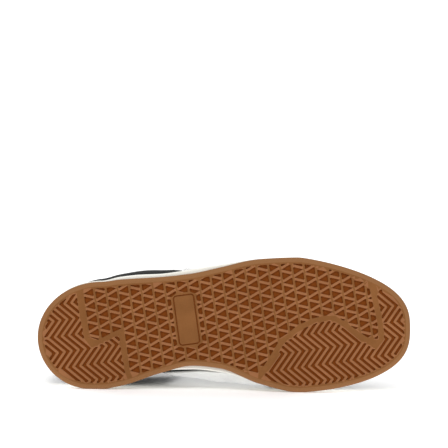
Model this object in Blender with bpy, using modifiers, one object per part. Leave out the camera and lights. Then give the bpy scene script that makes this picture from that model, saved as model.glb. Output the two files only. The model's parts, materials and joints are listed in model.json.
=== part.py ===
"""Low court shoe for the right foot, lying on its inner side.

The pieces are modelled in the shoe's own frame, standing on the sole, in millimetres: x runs from the
heel to the toe, y points to the inner (big toe) side and z up from the ground. Places on the tread are
given as seen from below, with the outer side up: (along, out), where out is minus y. A parent empty then
lays the shoe on its inner side, on the sole's edge and the upper.
"""

import math

import bmesh
import bpy
import numpy as np
from mathutils import Matrix, Vector

MM = 0.001
GAP = 0.3
INNER = 1.0
OUTER = -1.0
MERGE = 0.02
SHARP_ANGLE = math.radians(35.0)
CUTTER_REACH = 1.0

# Driving dimensions
LENGTH = 300.0
TOE_OFFSET = 6.5
BALL = 211.0
TOE_SPRING = 9.0
OUTSOLE_THICK = 5.0
CUP_WALL = 5.0
UPPER_WALL = 2.0
OVERLAY_WALL = 1.2
INSOLE_THICK = 3.5
INSOLE_ROUND = (1.2, 1.0)
TONGUE_THICK = 3.4
STATIONS = 30
UPPER_LEVELS = 8

# Outlines: distance from the heel, half-width to the inner side, half-width to the outer side
OUTSOLE_ROWS = (
    (51.0, 42.2, 44.6),
    (66.0, 39.9, 46.4),
    (99.0, 29.4, 48.5),
    (125.0, 23.4, 51.4),
    (147.0, 25.6, 56.2),
    (179.0, 38.0, 63.0),
    (211.0, 44.8, 64.4),
)
MIDSOLE_ROWS = (
    (51.0, 41.4, 45.4),
    (66.0, 39.2, 48.5),
    (82.0, 34.0, 50.3),
    (99.0, 28.6, 51.0),
    (112.0, 26.7, 52.6),
    (125.0, 26.5, 54.8),
    (147.0, 28.6, 58.4),
    (179.0, 37.4, 62.8),
    (211.0, 44.0, 63.9),
)
# How far the gum edge stands out past the shoe's length at the heel and at the toe
HEEL_LIP = 0.5
TOE_LIP = 1.8
OUTSOLE_EDGE = {"rows": OUTSOLE_ROWS, "heel": -HEEL_LIP, "toe": LENGTH + TOE_LIP}
MIDSOLE_EDGE = {"rows": MIDSOLE_ROWS, "heel": 0.8, "toe": LENGTH - 0.8}
# The heel's rounding: how far it reaches on each side; the toe's: one pair of powers for each side
HEEL_CENTRES = {INNER: 43.0, OUTER: 51.0}
TOE_POWERS = {INNER: (1.7, 2.75), OUTER: (1.24, 2.7)}

# Heights over the sole's underside: distance from the heel, top of the cup's wall, floor of the cup
CUP_ROWS = (
    (0.0, 29.0, 15.0),
    (60.0, 27.5, 15.0),
    (125.0, 25.5, 13.0),
    (211.0, 22.5, 10.5),
    (300.0, 22.0, 10.5),
)

# Side of the outsole, from the tread up: distance in from the outline, height over the underside
OUTSOLE_PROFILE = ((2.7, 0.0), (0.9, 0.7), (0.0, 2.5), (0.5, OUTSOLE_THICK))

# Side of the midsole: its rounded foot, as inset and height, then its leaning wall with the stitch channel,
# as inset and depth below the top, over the rim and down to the floor of the cup
MIDSOLE_FOOT = ((0.9, 0.0), (0.0, 1.2))
MIDSOLE_WALL = (
    (1.54, 6.2),
    (2.38, 6.0),
    (2.52, 5.0),
    (1.76, 4.8),
    (2.2, 1.0),
    (3.1, 0.0),
    (CUP_WALL - GAP, 0.0),
)

# Sections of the upper, from the heel's back to the toe's tip, each from the sole's edge up to the top line:
# place on the sole's edge, place of the top point, its half-widths from the ridge on the inner and outer
# side, its height, how far the section has turned over there (degrees), and how far each side swells
SECTION, TOP_ALONG, TOP_INNER, TOP_OUTER, TOP_HEIGHT, ROLL, SWELL_INNER, SWELL_OUTER = range(8)
UPPER_ROWS = (
    (0.0, 12.0, 0.0, 0.0, 96.0, 22.0, 4.0, 4.0),
    (4.0, 13.3, 12.0, 12.0, 95.8, 22.0, 4.0, 4.0),
    (14.0, 19.5, 22.5, 22.5, 94.0, 23.0, 3.5, 4.0),
    (30.0, 33.0, 30.0, 30.0, 88.5, 25.0, 3.0, 5.0),
    (50.0, 51.0, 33.5, 34.0, 81.5, 27.0, 3.0, 7.0),
    (70.0, 70.0, 34.5, 36.0, 78.5, 29.0, 3.5, 8.0),
    (90.0, 89.0, 32.0, 35.5, 81.5, 34.0, 5.0, 9.2),
    (108.0, 106.0, 27.0, 31.5, 92.0, 42.0, 9.5, 8.6),
    (122.0, 119.0, 21.0, 25.5, 106.0, 52.0, 12.5, 5.8),
    (131.0, 127.0, 17.0, 20.5, 112.5, 58.0, 14.0, 4.8),
    (146.0, 141.0, 14.5, 17.0, 108.0, 64.0, 15.5, 4.4),
    (170.0, 164.0, 12.0, 14.0, 97.0, 70.0, 12.0, 4.4),
    (195.0, 188.0, 9.5, 11.0, 85.5, 76.0, 7.0, 4.2),
    (212.0, 204.0, 7.5, 8.5, 78.0, 82.0, 4.5, 4.0),
    (222.0, 212.0, 0.0, 0.0, 75.0, 88.0, 4.0, 4.0),
    (245.0, 230.0, 0.0, 0.0, 67.5, 90.0, 3.5, 3.5),
    (268.0, 244.0, 0.0, 0.0, 62.0, 88.0, 3.0, 3.0),
    (286.0, 255.0, 0.0, 0.0, 58.6, 84.0, 3.0, 3.0),
    (300.0, 265.0, 0.0, 0.0, 56.6, 80.0, 3.0, 3.0),
)
SWELL_SKEW = 0.6

# The saddle overlays: place of the rear and front edges at the sole and at the throat, height of the lower
# edge over the cup at the rear and at the front, and least climb from it to the next row
SADDLE_REAR = {INNER: (101.0, 121.0), OUTER: (115.0, 129.0)}
SADDLE_FRONT = (186.0, 211.0)
OVERLAY_GAP = 0.6
SADDLE_LIFTS = {INNER: (10.0, 1.0), OUTER: (1.0, 1.0)}
SADDLE_STEP = 0.02
TOP_EDGE = 0.99
EYELETS = (136.0, 150.0, 164.0, 178.0, 192.0, 205.0)
EYELET_LEVEL = 0.88
EYELET_RADIUS = 2.2
EYELET_SIDES = 6
EYELET_PIN = 12.0
LACE_WIDTH = 6.6
LACE_THICK = 1.4
LACE_LEVELS = (0.86, 0.94, TOP_EDGE)

# The tongue: its sections from under the vamp to the top of the throat, then the steps of its free top, as
# reach along its lean, share of the width and share of the arching that are left
TONGUE_SECTIONS = (228.0, 221.0, 213.0, 202.0, 190.0, 178.0, 165.0, 152.0, 142.0, 135.0)
TONGUE_TOP_STEPS = ((6.0, 0.53, 0.48), (13.0, 0.68, 0.34), (20.0, 0.74, 0.25), (24.0, 0.62, 0.2))
TONGUE_LEAN = (-0.62, 0.0, 0.78)
TONGUE_FLANK = 3
TONGUE_CLEAR = 1.1
CROWN_SHARES = (0.25, 0.5, 0.75)
CROWN_FROM = 0.97
CROWN_HANDLE = 0.6

# Tread: all of it turned by one angle from the shoe's axis
TREAD_TURN = math.radians(8.0)
TREAD_DEPTH = 1.8
RIM_WIDTH = 5.4
LATTICE_START = (188.4, 40.7)
LATTICE_COLUMN = 9.476
LATTICE_ROW = 10.86
LATTICE_RISE = 3.03
LATTICE_RIB = 1.9
LATTICE_APEX = 2.6
LATTICE_COLUMNS = range(-24, 14)
LATTICE_ROWS = range(-14, 20)
CHEVRON_PITCH = 5.693
CHEVRON_HALF = 12.86
CHEVRON_REACH = 11.9
CHEVRON_GROOVE = 2.75
CHEVRON_NUMBERS = range(-50, 50)
CHEVRON_LEGS = 8
CHEVRON_STEPS = 25
GROOVE_EDGES = (-CHEVRON_GROOVE / 2, CHEVRON_GROOVE / 2)
HEEL_POINT = (23.7, 14.3)
TOE_POINT = (217.8, -10.8)
HEEL_BAND = ((31.5, 44.0), (39.6, 0.0), (44.5, -6.5), (67.1, 4.9), (75.5, -45.0))
HEEL_BAND_HALF = 2.0
TOE_BAND = (
    (174.5, -40.0),
    (188.0, -19.0),
    (197.0, -4.0),
    (210.7, 7.3),
    (224.3, 13.7),
    (236.8, 15.6),
    (243.6, 12.9),
    (273.1, -7.7),
    (277.7, -1.9),
    (277.1, 9.4),
    (274.1, 23.0),
    (266.5, 56.0),
)
TOE_BAND_HALF = 2.2
HEEL_CLOSE = ((-60.0, -45.0), (-60.0, 44.0))
TOE_CLOSE = ((380.0, 56.0), (380.0, -90.0), (174.5, -90.0))
PLATE_CENTRE = (120.1, 14.0)
PLATE_SIZE = (15.4, 39.0)
PLATE_ROUND = 2.0
PLATE_FRAME = 1.7
PLATE_GROOVE = 1.1
PLATE_GROOVE_DEPTH = 0.9
MIN_POCKET = 5.0
MIN_EDGE = 0.7
MIN_BEND = 0.06

# Finishes: name, colour and roughness
FINISHES = {
    "gum": ("gum_rubber", (0.26, 0.11, 0.04), 0.55),
    "midsole": ("off_white_rubber", (0.80, 0.78, 0.72), 0.5),
    "leather": ("black_leather", (0.015, 0.015, 0.016), 0.45),
    "saddle": ("white_leather", (0.85, 0.85, 0.84), 0.45),
    "lining": ("lining_cloth", (0.05, 0.05, 0.05), 0.9),
    "lace": ("white_lace", (0.82, 0.82, 0.80), 0.85),
}

# Weight centre of the whole shoe, for the pose on its side
BALANCE = Vector((135.0, -6.0, 32.0))
SIDE_FACING = 0.8


def clear_scene():
    """Remove whatever the scene holds."""
    for item in list(bpy.data.objects):
        bpy.data.objects.remove(item, do_unlink=True)


def principled(name, colour, roughness):
    """A plain finish from its colour and roughness."""
    material = bpy.data.materials.new(name)
    material.use_nodes = True
    shader = material.node_tree.nodes["Principled BSDF"]
    shader.inputs["Base Color"].default_value = (*colour, 1.0)
    shader.inputs["Roughness"].default_value = roughness
    shader.inputs["Metallic"].default_value = 0.0
    return material


def curve_through(knots, values, places, end_slope=0.0):
    """Monotone cubic curve through the knots, with end slopes that are a share of the end chords."""
    knots = np.asarray(knots, float)
    values = np.asarray(values, float)
    spans = np.diff(knots)
    chords = np.diff(values) / spans
    before, after = chords[:-1], chords[1:]
    same_way = before * after > 0
    total = np.where(same_way, before + after, 1.0)
    inside = np.where(same_way, 2 * before * after / total, 0.0)
    slopes = np.concatenate(([end_slope * chords[0]], inside, [end_slope * chords[-1]]))
    places = np.clip(np.asarray(places, float), knots[0], knots[-1])
    at = np.clip(np.searchsorted(knots, places, side="right") - 1, 0, len(spans) - 1)
    t = (places - knots[at]) / spans[at]
    rest = 1.0 - t
    return (
        values[at] * (1 + 2 * t) * rest**2
        + values[at + 1] * (3 - 2 * t) * t**2
        + slopes[at] * spans[at] * t * rest**2
        - slopes[at + 1] * spans[at] * rest * t**2
    )


def column(rows, index):
    """One column of a table."""
    return [row[index] for row in rows]


def share_of(along):
    """Place round a side, 0 at the heel's back and 1 at the toe's tip, for a distance from the heel."""
    return np.arccos(1.0 - 2.0 * np.asarray(along, float) / LENGTH) / math.pi


def edge_width(edge, side, along):
    """Half-width of an outline: a round heel, a curve through the rows, then a rounded toe."""
    rows = edge["rows"]
    widths = column(rows, 1 if side == INNER else 2)
    tip = -side * TOE_OFFSET
    centre = HEEL_CENTRES[side]
    into_heel = np.clip((centre - along) / (centre - edge["heel"]), 0.0, 1.0)
    heel = widths[0] * np.sqrt(1.0 - into_heel**2)
    middle = curve_through(column(rows, 0), widths, along)
    power, root = TOE_POWERS[side]
    into_toe = np.clip((along - BALL) / (edge["toe"] - BALL), 0.0, 1.0)
    toe = tip + (widths[-1] - tip) * (1.0 - into_toe**power) ** (1.0 / root)
    return np.where(along < rows[0][0], heel, np.where(along > BALL, toe, middle))


def edge_point(edge, side, share):
    """Point (x, y) of an outline at a share of the way round one side."""
    reach = edge["toe"] - edge["heel"]
    along = edge["heel"] + reach * (1.0 - np.cos(math.pi * np.asarray(share, float))) / 2.0
    return np.stack([along, side * edge_width(edge, side, along)], axis=-1)


def edge_normal(edge, side, share):
    """Outward direction (x, y) of an outline, from the points just before and after."""
    step = 1e-4
    ahead = edge_point(edge, side, np.clip(np.asarray(share, float) + step, 0.0, 1.0))
    behind = edge_point(edge, side, np.clip(np.asarray(share, float) - step, 0.0, 1.0))
    run = ahead - behind
    normal = side * np.stack([-run[..., 1], run[..., 0]], axis=-1)
    return normal / np.linalg.norm(normal, axis=-1, keepdims=True)


def inset_point(edge, side, share, inset):
    """Point of an outline moved inwards by a distance."""
    return edge_point(edge, side, share) - inset * edge_normal(edge, side, share)


def round_loop(edge, inset):
    """Closed loop of an outline: heel to toe along the outer side, and back along the inner side."""
    shares = np.linspace(0.0, 1.0, STATIONS + 1)
    outer = inset_point(edge, OUTER, shares, inset)
    inner = inset_point(edge, INNER, shares, inset)
    return np.concatenate([outer, inner[-2:0:-1]])


def underside(along):
    """Height of the sole's underside: flat from the heel to the ball, then the toe spring."""
    return TOE_SPRING * np.clip((along - BALL) / (LENGTH - BALL), 0.0, 1.2) ** 2


def cup_top(along):
    """Height of the top of the cup's wall."""
    return underside(along) + curve_through(column(CUP_ROWS, 0), column(CUP_ROWS, 1), along)


def cup_floor(along):
    """Height of the cup's floor."""
    return underside(along) + curve_through(column(CUP_ROWS, 0), column(CUP_ROWS, 2), along)


def raised(loop, height):
    """A flat loop lifted to a height, given as a function of the distance from the heel."""
    return np.column_stack([loop, height(loop[:, 0])])


def section_value(index, share, end_slope=0.0):
    """One column of the upper's table at a share of the way round a side."""
    return curve_through(share_of(column(UPPER_ROWS, SECTION)), column(UPPER_ROWS, index), share, end_slope)


def ridge(along):
    """The upper's ridge, seen from above: a straight line from the heel to the toe's tip."""
    return -TOE_OFFSET * along / LENGTH


def section_ends(side, share):
    """Foot and top of the upper's sections, and the direction in which they swell."""
    foot = inset_point(MIDSOLE_EDGE, side, share, CUP_WALL)
    foot = np.concatenate([foot, (cup_floor(foot[..., 0]) + GAP)[..., None]], axis=-1)
    along = section_value(TOP_ALONG, share)
    half = section_value(TOP_INNER if side == INNER else TOP_OUTER, share, 1.0)
    height = section_value(TOP_HEIGHT, share)
    top = np.stack([along, ridge(along) + side * half, height], axis=-1)
    return foot, top, edge_normal(MIDSOLE_EDGE, side, share)


def level_at(side, share, height):
    """Level on a section, 0 at its foot and 1 at the top line, where it reaches a height."""
    foot, top, _ = section_ends(side, share)
    roll = np.radians(section_value(ROLL, share))
    climb = np.clip((height - foot[..., 2]) / (top[..., 2] - foot[..., 2]), 0.0, 1.0)
    return np.arcsin(climb * np.sin(roll)) / roll


def rim_level(side, share):
    """Level where a section passes the top of the cup's wall."""
    foot, _, _ = section_ends(side, share)
    return level_at(side, share, cup_top(foot[..., 0]))


def grid_levels(side, share):
    """Levels of the upper's grid above the cup, the same for the pieces that lie on it or under it."""
    rim = rim_level(side, share)
    return rim + (1.0 - rim) * np.linspace(0.0, 1.0, UPPER_LEVELS)[:, None]


def upper_point(side, share, level):
    """Point of the upper's outer face: an arc from the sole's edge to the top line, swollen above the cup."""
    share, level = np.broadcast_arrays(np.asarray(share, float), np.asarray(level, float))
    foot, top, out = section_ends(side, share)
    roll = np.radians(section_value(ROLL, share))
    turn = level * roll
    lean = ((1.0 - np.cos(turn)) / (1.0 - np.cos(roll)))[..., None]
    climb = np.sin(turn) / np.sin(roll)
    start = rim_level(side, share)
    over = np.clip((level - start) / (1.0 - start), 0.0, 1.0)
    swell = section_value(SWELL_INNER if side == INNER else SWELL_OUTER, share)
    swell = swell * np.sin(math.pi * over**SWELL_SKEW)
    flat = foot[..., :2] + (top[..., :2] - foot[..., :2]) * lean + out * swell[..., None]
    height = foot[..., 2] + (top[..., 2] - foot[..., 2]) * climb
    return np.concatenate([flat, height[..., None]], axis=-1)


def upper_normal(side, share, level):
    """Outward direction of the upper's face, from its slopes along and up."""
    step = 1e-3
    share, level = np.broadcast_arrays(np.asarray(share, float), np.asarray(level, float))
    low = np.clip(level - step, 0.0, 1.0)
    high = np.clip(level + step, 0.0, 1.0)
    along = upper_point(side, share + step, level) - upper_point(side, share - step, level)
    up = upper_point(side, share, high) - upper_point(side, share, low)
    normal = -side * np.cross(along, up)
    return normal / np.linalg.norm(normal, axis=-1, keepdims=True)


def upper_offset(side, share, level, distance):
    """Point at a distance outside the upper's face."""
    return upper_point(side, share, level) + distance * upper_normal(side, share, level)


def grid_faces(rows, columns, flip=False, start=0):
    """Quads of a grid whose points are stored row by row."""
    faces = []
    for row in range(rows - 1):
        for col in range(columns - 1):
            corner = start + row * columns + col
            quad = (corner, corner + columns, corner + columns + 1, corner + 1)
            faces.append(quad[::-1] if flip else quad)
    return faces


def add_piece(name, points, faces, material, collection):
    """A named object from points in millimetres, with its doubled points merged."""
    mesh = bpy.data.meshes.new(name)
    mesh.from_pydata([Vector(point) * MM for point in np.asarray(points, float)], [], faces)
    shape = bmesh.new()
    shape.from_mesh(mesh)
    bmesh.ops.remove_doubles(shape, verts=shape.verts, dist=MERGE * MM)
    shape.to_mesh(mesh)
    shape.free()
    mesh.shade_smooth()
    mesh.set_sharp_from_angle(angle=SHARP_ANGLE)
    mesh.materials.append(material)
    piece = bpy.data.objects.new(name, mesh)
    collection.objects.link(piece)
    return piece


def stacked_solid(name, loops, material, collection):
    """A solid through a stack of loops, closed by faces across its first and last loop."""
    count = len(loops[0])
    half = count // 2
    faces = []
    for level in range(len(loops) - 1):
        for i in range(count):
            j = (i + 1) % count
            low, high = level * count, (level + 1) * count
            faces.append((low + i, low + j, high + j, high + i))
    across = [(0, 1, count - 1), (half - 1, half, half + 1)]
    across += [(i, i + 1, count - i - 1, count - i) for i in range(1, half - 1)]
    last = (len(loops) - 1) * count
    faces += [face[::-1] for face in across]
    faces += [tuple(last + i for i in face) for face in across]
    return add_piece(name, np.concatenate(loops), faces, material, collection)


def signed_distance(polygon, points):
    """Distance of points from a closed polygon, positive inside it."""
    points = np.atleast_2d(points)
    start = np.asarray(polygon, float)
    run = np.roll(start, -1, axis=0) - start
    to_point = points[:, None, :] - start[None]
    share = np.clip((to_point * run).sum(-1) / (run * run).sum(-1), 0.0, 1.0)
    near = np.linalg.norm(to_point - share[..., None] * run, axis=-1).min(axis=1)
    end = start + run
    spans = (start[:, 1] > points[:, 1:]) != (end[:, 1] > points[:, 1:])
    rise = np.where(run[:, 1] == 0.0, 1.0, run[:, 1])
    crossing = start[:, 0] + (points[:, 1:] - start[:, 1]) * run[:, 0] / rise
    inside = (spans & (points[:, :1] < crossing)).sum(axis=1) % 2 == 1
    return np.where(inside, near, -near)


def to_tread(points):
    """Plan points (along, out) in the tread's turned axes: (rank, run), run pointing to the inner side."""
    points = np.asarray(points, float)
    rank = points[..., 0] * math.cos(TREAD_TURN) + points[..., 1] * math.sin(TREAD_TURN)
    run = points[..., 0] * math.sin(TREAD_TURN) - points[..., 1] * math.cos(TREAD_TURN)
    return np.stack([rank, run], axis=-1)


def from_tread(points):
    """Plan points (along, out) for points in the tread's turned axes."""
    points = np.asarray(points, float)
    along = points[..., 0] * math.cos(TREAD_TURN) + points[..., 1] * math.sin(TREAD_TURN)
    out = points[..., 0] * math.sin(TREAD_TURN) - points[..., 1] * math.cos(TREAD_TURN)
    return np.stack([along, out], axis=-1)


def rounded_plate(grow):
    """Outline of the plate in the plan, grown by a distance: a rounded rectangle in the tread's axes."""
    half_rank = PLATE_SIZE[0] / 2 + grow
    half_run = PLATE_SIZE[1] / 2 + grow
    radius = PLATE_ROUND + grow
    centre = to_tread(PLATE_CENTRE)
    outline = []
    for corner, (right, down) in enumerate(((1, 1), (-1, 1), (-1, -1), (1, -1))):
        for step in range(4):
            angle = math.radians(90.0 * corner + 30.0 * step)
            rank = right * (half_rank - radius) + radius * math.cos(angle)
            run = down * (half_run - radius) + radius * math.sin(angle)
            outline.append(centre + (rank, run))
    return from_tread(outline)


class TreadPlan:
    """The zones of the tread, as distances that are positive inside a zone."""

    def __init__(self):
        loop = round_loop(OUTSOLE_EDGE, 0.0)
        self.edge = np.column_stack([loop[:, 0], -loop[:, 1]])
        self.heel = np.array(HEEL_BAND + HEEL_CLOSE)
        self.toe = np.array(TOE_BAND + TOE_CLOSE)
        self.plate = rounded_plate(PLATE_GROOVE + PLATE_FRAME)

    def within_rim(self, points):
        """Inside the smooth rim."""
        return signed_distance(self.edge, points) - RIM_WIDTH

    def heel_zone(self, points):
        """Herringbone at the heel."""
        band = signed_distance(self.heel, points) - HEEL_BAND_HALF
        return np.minimum(self.within_rim(points), band)

    def toe_zone(self, points):
        """Herringbone at the toe and the inner ball."""
        band = signed_distance(self.toe, points) - TOE_BAND_HALF
        return np.minimum(self.within_rim(points), band)

    def lattice_zone(self, points):
        """Triangles between the two bands, round the plate."""
        heel = -signed_distance(self.heel, points) - HEEL_BAND_HALF
        toe = -signed_distance(self.toe, points) - TOE_BAND_HALF
        plate = -signed_distance(self.plate, points)
        return np.minimum.reduce([self.within_rim(points), heel, toe, plate])


def polygon_area(polygon):
    """Area of a polygon."""
    x, y = polygon[:, 0], polygon[:, 1]
    return 0.5 * abs(np.dot(x, np.roll(y, -1)) - np.dot(y, np.roll(x, -1)))


def tidy_polygon(polygon):
    """A polygon without its very short edges and its points on straight runs."""
    points = [np.asarray(point) for point in polygon]
    changed = True
    while changed and len(points) > 3:
        changed = False
        for i in range(len(points)):
            before, here, after = points[i - 1], points[i], points[(i + 1) % len(points)]
            first, second = here - before, after - here
            bend = abs(first[0] * second[1] - first[1] * second[0])
            reach = np.linalg.norm(after - before)
            if np.linalg.norm(first) < MIN_EDGE or bend < MIN_BEND * reach:
                points.pop(i)
                changed = True
                break
    return np.array(points)


def clipped(polygon, zone):
    """The part of a polygon where a zone's distance is positive, with a straight edge along its border."""
    pieces_per_edge = 8
    start = np.asarray(polygon, float)
    shares = np.linspace(0.0, 1.0, pieces_per_edge, endpoint=False)[None, :, None]
    ring = (start[:, None] * (1 - shares) + np.roll(start, -1, axis=0)[:, None] * shares).reshape(-1, 2)
    depth = zone(ring)
    kept = []
    for i in range(len(ring)):
        j = (i + 1) % len(ring)
        if depth[i] > 0:
            kept.append(ring[i])
        if (depth[i] > 0) != (depth[j] > 0):
            kept.append(ring[i] + (ring[j] - ring[i]) * depth[i] / (depth[i] - depth[j]))
    return tidy_polygon(kept) if len(kept) > 2 else np.zeros((0, 2))


def lattice_pockets(plan):
    """Triangle pockets between bars along the tread's run, long rising bars and short falling bars."""
    rank_start, run_start = to_tread(LATTICE_START)
    slope = math.atan2(LATTICE_RISE, LATTICE_COLUMN)
    rib_along_run = LATTICE_RIB / math.cos(slope)
    base = LATTICE_ROW - LATTICE_APEX - rib_along_run
    pockets = []
    for col in LATTICE_COLUMNS:
        left = rank_start + col * LATTICE_COLUMN + LATTICE_RIB / 2
        right = left + LATTICE_COLUMN - LATTICE_RIB
        for row in LATTICE_ROWS:
            bar_left = run_start - col * LATTICE_RISE + row * LATTICE_ROW
            bar_right = bar_left - LATTICE_RISE
            top_right = bar_right + rib_along_run / 2
            low_left = bar_left + LATTICE_ROW - rib_along_run / 2
            apex_left = bar_left + LATTICE_APEX / 2
            apex_right = bar_right + LATTICE_ROW - LATTICE_APEX / 2
            opening_right = ((left, apex_left), (right, top_right), (right, top_right + base))
            opening_left = ((left, low_left - base), (right, apex_right), (left, low_left))
            for triangle in (opening_right, opening_left):
                pocket = clipped(from_tread(triangle), plan.lattice_zone)
                if len(pocket) > 2 and polygon_area(pocket) > MIN_POCKET:
                    pockets.append(pocket)
    return pockets


def inside_runs(flags):
    """First and last index of each run of true values."""
    padded = np.concatenate([[False], flags, [False]]).astype(int)
    change = np.diff(padded)
    return list(zip(np.flatnonzero(change == 1), np.flatnonzero(change == -1) - 1))


def chevron_grooves(zone, point):
    """Zigzag grooves across a zone, between ribs of which one has a forward corner at a given point."""
    point_rank, point_run = to_tread(point)
    phase = np.linspace(-CHEVRON_LEGS, CHEVRON_LEGS, 2 * CHEVRON_LEGS * CHEVRON_STEPS + 1)
    samples = point_run + CHEVRON_HALF * phase
    zigzag = -CHEVRON_REACH * np.abs(phase - 2 * np.round(phase / 2))
    spare = int(CHEVRON_GROOVE * CHEVRON_STEPS / CHEVRON_HALF)
    grooves = []
    for number in CHEVRON_NUMBERS:
        middle = point_rank + (number + 0.5) * CHEVRON_PITCH + zigzag
        sides = [from_tread(np.column_stack([middle + shift, samples])) for shift in GROOVE_EDGES]
        inside = [zone(side) > 0 for side in sides]
        runs = inside_runs(inside[0] & inside[1])
        walls = [0] + [(run[1] + after[0]) // 2 for run, after in zip(runs, runs[1:])] + [len(samples)]
        for (first, last), before, behind in zip(runs, walls, walls[1:]):
            edges = []
            for side, within in zip(sides, inside):
                low, high = first, last
                while low > max(first - spare, before + 2) and within[low - 1]:
                    low -= 1
                while high < min(last + spare, behind - 2) and within[high + 1]:
                    high += 1
                edges.append(side[low:high + 1])
            groove = tidy_polygon(np.concatenate([edges[0], edges[1][::-1]]))
            if len(groove) > 3 and polygon_area(groove) > MIN_POCKET:
                grooves.append(groove)
    return grooves


def add_prism(shape, mouth, depth):
    """Add a cutter to a mesh: a polygon from below the tread up to a depth that follows the underside."""
    area = np.dot(mouth[:, 0], np.roll(mouth[:, 1], -1)) - np.dot(mouth[:, 1], np.roll(mouth[:, 0], -1))
    plan = mouth if area < 0 else mouth[::-1]
    x, y = plan[:, 0], -plan[:, 1]
    low = [shape.verts.new(Vector(p) * MM) for p in zip(x, y, underside(x) - CUTTER_REACH)]
    high = [shape.verts.new(Vector(p) * MM) for p in zip(x, y, underside(x) + depth)]
    shape.faces.new(low[::-1])
    shape.faces.new(high)
    for i in range(len(plan)):
        j = (i + 1) % len(plan)
        shape.faces.new((low[i], low[j], high[j], high[i]))


def add_plate_groove(shape):
    """Add a cutter to a mesh: the shallow groove round the bare plate."""
    section = (
        (PLATE_GROOVE, -CUTTER_REACH),
        (PLATE_GROOVE, PLATE_GROOVE_DEPTH),
        (0.0, PLATE_GROOVE_DEPTH),
        (0.0, -CUTTER_REACH),
    )
    rings = []
    for grow, height in section:
        plan = rounded_plate(grow)
        rings.append([shape.verts.new(Vector((x, -out, height)) * MM) for x, out in plan])
    for low, high in zip(rings, rings[1:] + rings[:1]):
        for i in range(len(low)):
            j = (i + 1) % len(low)
            shape.faces.new((low[i], low[j], high[j], high[i]))


def add_cutter(name, shape, collection):
    """A cutter object from a mesh of closed bodies, left out of the model."""
    bmesh.ops.triangulate(shape, faces=[face for face in shape.faces if len(face.verts) > 4])
    bmesh.ops.recalc_face_normals(shape, faces=shape.faces)
    mesh = bpy.data.meshes.new(name)
    shape.to_mesh(mesh)
    shape.free()
    cutter = bpy.data.objects.new(name, mesh)
    cutter.hide_render = True
    cutter.display_type = "WIRE"
    collection.objects.link(cutter)
    return cutter


def cut(piece, cutter):
    """Cut a piece with a cutter."""
    boolean = piece.modifiers.new(cutter.name, "BOOLEAN")
    boolean.operation = "DIFFERENCE"
    boolean.solver = "EXACT"
    boolean.object = cutter


def thicken(piece, thickness, offset):
    """Give an open surface flat facets and its thickness: offset -1 inwards, 1 outwards."""
    facets = piece.modifiers.new("facets", "TRIANGULATE")
    facets.quad_method = "FIXED"
    solidify = piece.modifiers.new("wall", "SOLIDIFY")
    solidify.thickness = thickness * MM
    solidify.offset = offset


def make_outsole(materials, parts, cutters):
    """Gum outsole: a rounded lower edge, a flat rim, and the tread cut into it."""
    loops = [
        raised(round_loop(OUTSOLE_EDGE, inset), lambda x, up=up: underside(x) + up)
        for inset, up in OUTSOLE_PROFILE
    ]
    outsole = stacked_solid("outsole", loops, materials["gum"], parts)
    plan = TreadPlan()
    shape = bmesh.new()
    pockets = lattice_pockets(plan)
    pockets += chevron_grooves(plan.heel_zone, HEEL_POINT)
    pockets += chevron_grooves(plan.toe_zone, TOE_POINT)
    for pocket in pockets:
        add_prism(shape, pocket, TREAD_DEPTH)
    add_plate_groove(shape)
    cut(outsole, add_cutter("tread_cutter", shape, cutters))


def make_midsole(materials, parts):
    """Off-white cupsole: a leaning wall with a stitch channel, a rim, and the cup that holds the upper."""
    base = OUTSOLE_THICK + GAP
    loops = []
    for inset, above in MIDSOLE_FOOT:
        loops.append(raised(round_loop(MIDSOLE_EDGE, inset), lambda x, up=above: underside(x) + base + up))
    for inset, below in MIDSOLE_WALL:
        loops.append(raised(round_loop(MIDSOLE_EDGE, inset), lambda x, drop=below: cup_top(x) - drop))
    loops.append(raised(round_loop(MIDSOLE_EDGE, CUP_WALL - GAP), cup_floor))
    stacked_solid("midsole", loops, materials["midsole"], parts)


def make_insole(materials, parts):
    """Footbed in the cup, inside the upper's wall."""
    clear = CUP_WALL + UPPER_WALL + 2 * GAP
    inset, drop = INSOLE_ROUND
    profile = ((clear, 0.0), (clear, INSOLE_THICK - drop), (clear + inset, INSOLE_THICK))
    loops = [
        raised(round_loop(MIDSOLE_EDGE, away), lambda x, up=up: cup_floor(x) + GAP + up)
        for away, up in profile
    ]
    stacked_solid("insole", loops, materials["lining"], parts)


def eyelet_cutter(cutters):
    """Cutter for the eyelets: short pins through the overlays and the wall."""
    shape = bmesh.new()
    for side in (INNER, OUTER):
        for section in EYELETS:
            share = share_of(section)
            centre = Vector(upper_point(side, share, EYELET_LEVEL)) * MM
            axis = Vector(upper_normal(side, share, EYELET_LEVEL))
            turn = axis.to_track_quat("Z", "X").to_matrix().to_4x4()
            bmesh.ops.create_cone(
                shape,
                cap_ends=True,
                segments=EYELET_SIDES,
                radius1=EYELET_RADIUS * MM,
                radius2=EYELET_RADIUS * MM,
                depth=EYELET_PIN * MM,
                matrix=Matrix.Translation(centre) @ turn,
            )
    return add_cutter("eyelet_cutter", shape, cutters)


def make_upper(materials, parts, holes):
    """The upper's wall: both sides of its sections, joined along the heel's back and the vamp's ridge."""
    shares = np.linspace(0.0, 1.0, STATIONS + 1)
    points, faces = [], []
    for side in (OUTER, INNER):
        levels = np.concatenate([np.zeros((1, len(shares))), grid_levels(side, shares)])
        grid = upper_point(side, shares[None, :], levels)
        grid = grid.transpose(1, 0, 2)
        faces += grid_faces(len(shares), UPPER_LEVELS + 1, side == INNER, len(points) * grid[..., 0].size)
        points.append(grid.reshape(-1, 3))
    upper = add_piece("upper", np.concatenate(points), faces, materials["leather"], parts)
    thicken(upper, UPPER_WALL, -1.0)
    cut(upper, holes)


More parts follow.
